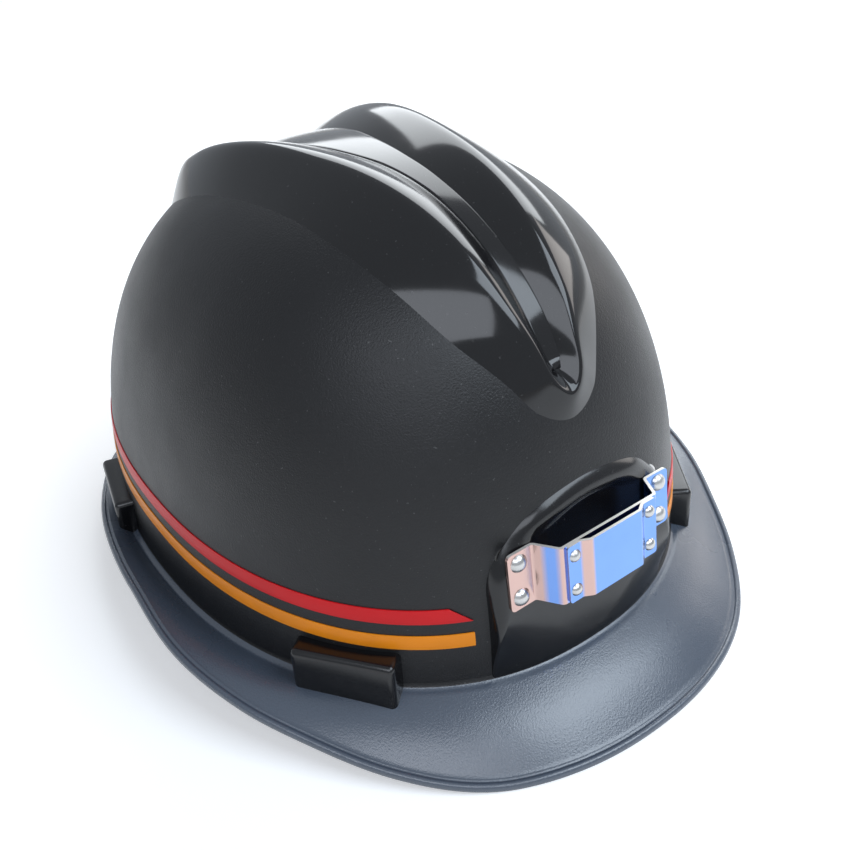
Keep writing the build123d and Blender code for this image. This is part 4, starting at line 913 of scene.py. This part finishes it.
class HELMET_OT_tapes(Operator):
    """Orange and red tapes round both sides of the dome"""
    bl_idname = "helmet.tapes"
    bl_label = "Tapes"

    def execute(self, context):
        shell, tapes = context.scene.helmet_shell, context.scene.helmet_tapes
        margin = 0.001
        climb = (shell.front + shell.rear) * sin(tapes.lean) / (shell.front + shell.rear + 2 * margin)
        across_share = np.array([0, 0, 0.1, 0.5, 0.9, 1, 1, 0.5])
        grow = np.array([0.06, 0.8, 1, 1, 1, 0.8, 0.06, 0.06]) * tapes.stand
        for name, lift, slant in (("orange", 0.0, 0.0), ("red", tapes.spacing, 0.006)):
            low = tapes.height + lift - tapes.width / 2

            def ring_point(turn):
                """Points of the tape's section at a turn, on the dome at the height that the lean gives."""
                along = np.zeros(np.broadcast(turn, across_share).shape)
                for _ in range(6):
                    height = low + climb * (along + shell.front + margin) + across_share * tapes.width
                    up = np.clip((height - shell.foot) / (shell.rise + grow), 0, 1)
                    rise = np.arcsin(up ** (shell.profile_power / 2))
                    points = dome_points(shell, turn, rise, grow)
                    along = points[..., 1] - shell.middle
                return points

            def turn_where(limit, near, far):
                """Turn at which the tape's distance from the middle plane falls to a limit."""
                return halved(lambda turn: ring_point(turn)[..., 0] > limit,
                              np.full(len(across_share), near), np.full(len(across_share), far))

            front = turn_where(tapes.front_end + slant * across_share, 0.0, -pi / 2)
            rear = turn_where(tapes.rear_end, 0.0, pi / 2)
            share = np.linspace(0, 1, 150)[:, None]
            points = ring_point(front + (rear - front) * share)
            for side, sign in (("left", 1), ("right", -1)):
                mesh = grid_mesh(f"{name}_tape_{side}", points * np.array([sign, 1, 1]), caps=True)
                place(mesh, [finish_of(f"{name}_vinyl_tape")],
                      stands_for=[f"{name}_stripe_{side}"], smooth_below=40)
        return {"FINISHED"}


def strap_line(shell, harness, ends, turn, lift):
    """Middle line of a crown strap from its front end over the crown to its rear end. In plan each half is a
    cubic that leaves its end square to the wall and meets the crossing in line. In height it is a
    superellipse of power 2.2."""
    (start, out), (finish, out_far) = ends
    crossing = np.array([0, shell.middle - CROSSING])
    share = np.abs(np.cos(turn)) ** (2 / 2.2)
    rise = np.abs(np.sin(turn)) ** (2 / 2.2)
    halves = []
    for near, inward, far in ((start, -out, finish), (finish, -out_far, start)):
        ahead = (far - near) / np.linalg.norm(far - near)
        pull = 0.42 * np.linalg.norm(crossing - near)
        halves.append(near * share[:, None] ** 3
                      + (near + inward * pull) * (3 * share**2 * (1 - share))[:, None]
                      + (crossing - ahead * pull) * (3 * share * (1 - share) ** 2)[:, None]
                      + crossing * ((1 - share) ** 3)[:, None])
    plan = np.where((turn < pi / 2)[:, None], *halves)
    height = harness.strap_low + (harness.strap_top + lift - harness.strap_low) * rise
    return np.concatenate([plan, height[:, None]], -1)


def ribbon(name, line, side, width, wall):
    """Flat strap along a line: a rounded section carried along it, its width held to a side direction."""
    tangent = np.gradient(line, axis=0)
    tangent /= np.linalg.norm(tangent, axis=-1, keepdims=True)
    side = side - tangent * np.einsum("ij,ij->i", side, tangent)[:, None]
    side /= np.linalg.norm(side, axis=-1, keepdims=True)
    up = np.cross(tangent, side)
    angle = np.linspace(0, 2 * pi, 25)[:-1]
    flat = np.stack([signed_power(np.cos(angle), 0.35) * width / 2,
                     signed_power(np.sin(angle), 0.6) * wall / 2], -1)
    points = line[:, None] + side[:, None] * flat[None, :, :1] + up[:, None] * flat[None, :, 1:]
    return grid_mesh(name, points, caps=True)


def sewn_ring(name, middle, out, width):
    """Loop of webbing round a key's bar: a flat band that follows an upright rounded path."""
    deep, tall, corner, wall = 0.0047, 0.0054, 0.0022, 0.0014
    path = rounded_outline(deep, tall, corner, 0.0, each=7, between=2)
    around = np.gradient(np.concatenate([path[-1:], path, path[:1]]), axis=0)[1:-1]
    around /= np.linalg.norm(around, axis=-1, keepdims=True)
    outward = np.stack([around[:, 1], -around[:, 0]], -1)
    angle = np.linspace(0, 2 * pi, 17)[:-1]
    flat = np.stack([signed_power(np.cos(angle), 0.4) * width / 2,
                     signed_power(np.sin(angle), 0.6) * wall / 2], -1)
    plan = path[:, None] + outward[:, None] * flat[None, :, 1:]
    across = np.array([-out[1], out[0], 0])
    points = (middle + plan[..., :1] * np.array([*out, 0]) + plan[..., 1:] * np.array([0, 0, 1])
              + flat[None, :, :1] * across)
    return grid_mesh(name, points, closed_rows=True)


def stitches(name, line, side, places, offsets, run, thick, stand=0.00062):
    """Thread stitches on both faces of a strap: small spindles along it at given places and offsets."""
    tangent = np.gradient(line, axis=0)
    tangent /= np.linalg.norm(tangent, axis=-1, keepdims=True)
    lift = np.cross(tangent, side)
    made = []
    for index, offset, face in [(i, o, f) for i in places for o in offsets for f in (1, -1)]:
        middle = line[index] + side[index] * offset + lift[index] * face * stand
        share = np.linspace(-1, 1, 7)[:, None, None]
        angle = np.linspace(0, 2 * pi, 7)[:-1][None, :, None]
        radius = thick * np.sqrt(1.001 - share**2)
        points = (middle + tangent[index] * share * run / 2 + side[index] * radius * np.cos(angle)
                  + lift[index] * radius * np.sin(angle) * 0.7)
        made.append(grid_mesh(name, points, caps=True))
    return joined(name, made)


class HELMET_OT_straps(Operator):
    """Two webbing straps that cross under the crown, sewn round the keys' bars"""
    bl_idname = "helmet.straps"
    bl_label = "Crown straps"

    def execute(self, context):
        scene = context.scene
        shell, harness, pockets = scene.helmet_shell, scene.helmet_harness, scene.helmet_pockets
        ends = {(name, side): (station - out * harness.strap_inset, out)
                for name, side, station, out in pocket_stations(shell, pockets)}
        steps, bar, upright = 160, 0.00225, 2e-4
        for name, pair, lift in (("right", (ends["front", "right"], ends["rear", "left"]), 0.0),
                                 ("left", (ends["front", "left"], ends["rear", "right"]), 0.0017)):
            turn = np.linspace(0, pi, steps)
            line = strap_line(shell, harness, pair, turn, lift)
            ahead = np.gradient(line, axis=0)
            # The strap's width is square to its way in plan, and where it stands upright, to the wall's
            flat = np.where((np.linalg.norm(ahead[:, :2], axis=-1) > upright)[:, None], ahead[:, :2],
                            np.where((turn < pi / 2)[:, None], -pair[0][1], pair[1][1]))
            side = np.stack([-flat[:, 1], flat[:, 0], np.zeros(steps)], -1)
            side /= np.linalg.norm(side, axis=-1, keepdims=True)
            meshes = [ribbon("webbing", line, side, harness.strap_width, harness.strap_wall)]
            for start, out in pair:
                middle = np.array([*(start + out * bar), harness.strap_low])
                meshes.append(sewn_ring("ring", middle, out, harness.strap_width))
            mesh = joined(f"{name}_crown_strap", meshes)
            place(mesh, [finish_of("polyester_webbing")], stands_for=[f"crown_strap_{name}"])
            places = [*range(6, 18, 2), *range(steps - 18, steps - 6, 2)]
            sewn = stitches(f"{name}_strap_stitches", line, side, places, (-0.007, -0.0023, 0.0023, 0.007),
                            0.0022, 0.00028)
            place(sewn, [finish_of("natural_acetal")])
        return {"FINISHED"}


def swell(piece, voxel, most):
    """Sewn cover over foam: the pad is remeshed and blown up as cloth. No point moves further than most."""
    context = bpy.context
    remesh = piece.modifiers.new("remesh", "REMESH")
    remesh.mode, remesh.voxel_size, remesh.use_smooth_shade = "VOXEL", voxel, True
    even = bpy.data.meshes.new_from_object(piece.evaluated_get(context.evaluated_depsgraph_get()))
    piece.modifiers.clear()
    even.name, piece.data = piece.data.name, even
    rest = values_of(even.vertices, "co", 3)
    cloth = piece.modifiers.new("cloth", "CLOTH")
    cloth.settings.use_pressure = True
    cloth.settings.uniform_pressure_force = 4
    cloth.settings.effector_weights.gravity = 0
    cloth.settings.quality = 5
    for step in range(1, 21):
        context.scene.frame_set(step)
    blown = bpy.data.meshes.new_from_object(piece.evaluated_get(context.evaluated_depsgraph_get()))
    shift = values_of(blown.vertices, "co", 3) - rest
    piece.modifiers.clear()
    context.scene.frame_set(1)
    far = np.linalg.norm(shift, axis=-1, keepdims=True)
    shift *= np.minimum(1, most / np.maximum(far, 1e-9))
    even.vertices.foreach_set("co", (rest + shift).ravel())
    bpy.data.meshes.remove(blown)
    even.update()


def upholster(piece, seams, depth, spread, lay):
    """Presses seams into a pad, its points near them moved in along their normals, and gives it its lay."""
    mesh = piece.data
    points, normals = values_of(mesh.vertices, "co", 3), values_of(mesh.vertices, "normal", 3)
    points = points - normals * (depth * np.exp(-(seams(points) / spread) ** 2))[:, None]
    mesh.vertices.foreach_set("co", points.astype(np.float32).ravel())
    corner = values_of(mesh.loops, "vertex_index", kind=np.int32)
    for old in list(mesh.uv_layers):
        mesh.uv_layers.remove(old)
    mesh.uv_layers.new(name="lay").data.foreach_set("uv", lay(points)[corner].astype(np.float32).ravel())
    mesh.polygons.foreach_set("use_smooth", np.ones(len(mesh.polygons), bool))
    mesh.update()


def band_pad(shell, name, centre, heading, half_turn, outer, thick, low, high, pitch):
    """Pad inside the band: a rounded strip round an upright axis, tapered at both ends."""
    middle_y, heading, half_turn = shell.middle + centre, radians(heading), radians(half_turn)
    steps, rim_seam = 160, 0.0042
    angle = heading + half_turn * np.linspace(-1, 1, steps)
    section = np.linspace(0, 2 * pi, 49)[:-1]
    taper = np.sqrt(np.clip(1 - np.linspace(-1, 1, steps) ** 40, 0.02, 1))[:, None]
    radius = outer - thick / 2 + signed_power(np.cos(section), 0.55) * (thick / 2) * taper
    height = (low + high) / 2 + signed_power(np.sin(section), 0.45) * (high - low) / 2 * taper
    points = np.stack([radius * np.cos(angle)[:, None], middle_y + radius * np.sin(angle)[:, None],
                       np.broadcast_to(height, radius.shape)], -1)
    piece = place(grid_mesh(name + "_cover", points, caps=True), [finish_of("knitted_pad_cover")],
                  stands_for=[name])
    swell(piece, PAD_VOXEL, PAD_SWELL)

    def along(p):
        return (np.arctan2(p[:, 1] - middle_y, p[:, 0]) - heading) * outer

    def seams(p):
        """Distance to the nearest seam: upright ones at an even pitch, and one along each edge."""
        across = np.abs((along(p) / pitch + 0.5) % 1 - 0.5) * pitch
        rim = np.minimum(np.abs(p[:, 2] - low - rim_seam), np.abs(p[:, 2] - high + rim_seam))
        inside = np.hypot(p[:, 0], p[:, 1] - middle_y) < outer - thick * 0.55
        return np.where(inside, np.minimum(across, rim), 1.0)

    upholster(piece, seams, SEAM_DEPTH, SEAM_SPREAD, lambda p: np.stack([along(p), p[:, 2]], -1))


def crown_pad(shell, harness):
    """Round pad under the straps' crossing, its faces sagging towards the rim."""
    middle_y, radius, steps = shell.middle - CROSSING, harness.pad_radius * 0.985, 120
    roof, half_wall, sag = 0.11805 - 0.0025, 0.0022, 0.0036
    hub, rim = 0.006, 0.0265
    angle = np.linspace(0, 2 * pi, steps + 1)[:-1]
    section = np.linspace(pi / 2, -pi / 2, 40)
    out = np.cos(section)[:, None] ** 0.35
    height = roof - sag * out**2 + signed_power(np.sin(section), 0.6)[:, None] * half_wall
    points = np.stack([radius * out * np.cos(angle), middle_y + radius * out * np.sin(angle),
                       np.broadcast_to(height, (40, steps))], -1)
    piece = place(grid_mesh("crown_pad_cover", points, poles=(True, True)), [finish_of("knitted_pad_cover")],
                  stands_for=["crown_pad"])
    swell(piece, PAD_VOXEL, PAD_SWELL)

    def seams(p):
        """Distance to the nearest seam: six spokes and one ring near the rim, on the underside only."""
        reach = np.hypot(p[:, 0], p[:, 1] - middle_y)
        turn = np.arctan2(p[:, 1] - middle_y, p[:, 0])
        spoke = np.abs((turn / (pi / 3) + 0.5) % 1 - 0.5) * (pi / 3) * reach
        under = p[:, 2] < roof - sag * (reach / harness.pad_radius) ** 2
        return np.where(under, np.minimum(np.where(reach > hub, spoke, 1.0), np.abs(reach - rim)), 1.0)

    upholster(piece, seams, SEAM_DEPTH, SEAM_SPREAD, lambda p: p[:, :2])


class HELMET_OT_pads(Operator):
    """Sweatband, nape pad and crown pad, as knitted fabric sewn over foam"""
    bl_idname = "helmet.pads"
    bl_label = "Pads"

    def execute(self, context):
        for row in BAND_PADS:
            band_pad(context.scene.helmet_shell, *row)
        crown_pad(context.scene.helmet_shell, context.scene.helmet_harness)
        return {"FINISHED"}


class HELMET_OT_metalwork(Operator):
    """Finishes of the lamp bracket, the cord clip and their rivets"""
    bl_idname = "helmet.metalwork"
    bl_label = "Metalwork"

    def execute(self, context):
        dress(["bracket_base", "bracket_plate"], "plated_sheet_steel_painted_reflections")
        dress(["cord_clip"], "plated_clip_painted_reflections")
        dress(["bracket_rivets", "plate_rivets", "clip_rivets", "bracket_washers", "clip_washers"],
              "aluminium_rivet")
        dress(["knob_screw"], "zinc_plated_screw")
        return {"FINISHED"}


class HELMET_OT_mouldings(Operator):
    """Finishes of the harness's moulded pieces"""
    bl_idname = "helmet.mouldings"
    bl_label = "Moulded pieces"

    def execute(self, context):
        dress(["headband", "left_arm", "right_arm", "left_arm_studs", "right_arm_studs", "housing",
               "housing_cover", "front_left_key", "front_right_key", "rear_left_key", "rear_right_key"],
              "moulded_nylon_harness")
        dress(["knob"], "moulded_knob_textured")
        dress(["pinion", "click_spring"], "natural_acetal")
        return {"FINISHED"}


def bearing(heading, climb):
    """Direction away from the helmet: a turn round it from the front, and a height over the horizon."""
    return Vector((sin(heading) * cos(climb), -cos(heading) * cos(climb), sin(climb)))


class HELMET_OT_stage(Operator):
    """Floor, lamps, world and camera"""
    bl_idname = "helmet.stage"
    bl_label = "Stage"

    def execute(self, context):
        scene, stage = context.scene, context.scene.helmet_stage
        scene.view_settings.view_transform = "Standard"
        # Floor: pale matte board. Rays that look at it see it a little lighter, so that it clears to white
        material, tree = new_material("matte_white_board")
        extra = add(tree, "Math", {0: looked_at(tree), 1: 0.35}, operation="MULTIPLY")
        board = add(tree, "BsdfDiffuse", {"Color": rgba(stage.floor)})
        glow = add(tree, "Emission", {"Strength": extra.outputs[0]})
        surfaced(material, add(tree, "AddShader", {0: board.outputs[0], 1: glow.outputs[0]}))
        mesh = bpy.data.meshes.new("floor")
        mesh.from_pydata([(-4, -4, 0), (4, -4, 0), (4, 4, 0), (-4, 4, 0)], [], [(0, 1, 2, 3)])
        mesh.materials.append(material)
        floor = bpy.data.objects.new("floor", mesh)
        scene.collection.objects.link(floor)
        # World: a dim pale sky, which looks paler than it lights
        world = bpy.data.worlds.new("pale_studio")
        scene.world = world
        world.use_nodes = True
        tree = world.node_tree
        tree.nodes.clear()
        strength = add(tree, "MapRange", {"Value": looked_at(tree), "To Min": 0.24, "To Max": 0.6})
        sky = add(tree, "Background", {"Color": (0.86, 0.92, 1.0, 1), "Strength": strength.outputs[0]})
        end = add(tree, "OutputWorld")
        tree.links.new(sky.outputs[0], end.inputs["Surface"])
        # Lamps, each turned to the middle of the helmet
        for name, azimuth, climb, far, width, tall, radiance, tone in LAMPS:
            lamp = bpy.data.lights.new(name, "AREA")
            lamp.shape, lamp.size, lamp.size_y = "RECTANGLE", width, tall
            lamp.energy = radiance * pi * width * tall
            lamp.color = tone
            holder = bpy.data.objects.new(name, lamp)
            away = bearing(radians(azimuth), radians(climb))
            holder.location = Vector(LAMP_TARGET) + away * far
            holder.rotation_mode = "QUATERNION"
            holder.rotation_quaternion = away.to_track_quat("Z", "Y")
            scene.collection.objects.link(holder)
        # Camera, from the photograph's side
        back = bearing(stage.heading, stage.climb)
        right = Vector((cos(stage.heading), sin(stage.heading), 0))
        up = back.cross(right)
        right, up = (right * cos(stage.roll) + up * sin(stage.roll),
                     up * cos(stage.roll) - right * sin(stage.roll))
        camera = bpy.data.objects.new("camera", bpy.data.cameras.new("camera"))
        camera.data.sensor_width, camera.data.lens = 36, stage.lens
        camera.data.shift_x, camera.data.shift_y = stage.shift_x, stage.shift_y
        camera.data.clip_start, camera.data.clip_end = 0.01, 50
        camera.matrix_world = (Matrix.Translation(Vector(CAMERA_TARGET) + back * stage.distance)
                               @ Matrix((right, up, back)).transposed().to_4x4())
        scene.collection.objects.link(camera)
        scene.camera = camera
        return {"FINISHED"}


class HELMET_PT_pieces(Panel):
    """Lists the helmet's pieces and their sizes"""
    bl_label = "Miner Helmet"
    bl_idname = "HELMET_PT_pieces"
    bl_space_type = "VIEW_3D"
    bl_region_type = "UI"
    bl_category = "Helmet"

    def draw(self, context):
        for operator in OPERATORS:
            self.layout.operator(operator.bl_idname)
        for name, group in GROUPS.items():
            box = self.layout.box()
            box.label(text=name.replace("_", " ").capitalize())
            for field in group.__annotations__:
                box.prop(getattr(context.scene, name), field)


GROUPS = {"helmet_shell": HelmetShell, "helmet_ridges": HelmetRidges, "helmet_panel": HelmetPanel,
          "helmet_pockets": HelmetPockets, "helmet_tapes": HelmetTapes, "helmet_harness": HelmetHarness,
          "helmet_finish": HelmetFinish, "helmet_stage": HelmetStage}
OPERATORS = (HELMET_OT_stage, HELMET_OT_shell, HELMET_OT_raised_v, HELMET_OT_lamp_panel, HELMET_OT_cord_pad,
             HELMET_OT_pockets, HELMET_OT_tapes, HELMET_OT_straps, HELMET_OT_pads, HELMET_OT_metalwork,
             HELMET_OT_mouldings)


def register():
    for kind in (*GROUPS.values(), *OPERATORS, HELMET_PT_pieces):
        bpy.utils.register_class(kind)
    for name, group in GROUPS.items():
        setattr(bpy.types.Scene, name, PointerProperty(type=group))


def unregister():
    for name in GROUPS:
        delattr(bpy.types.Scene, name)
    for kind in (HELMET_PT_pieces, *OPERATORS[::-1], *reversed(GROUPS.values())):
        bpy.utils.unregister_class(kind)


def main():
    register()
    for operator in OPERATORS:
        group, name = operator.bl_idname.split(".")
        getattr(getattr(bpy.ops, group), name)()


if __name__ == "__main__":
    main()
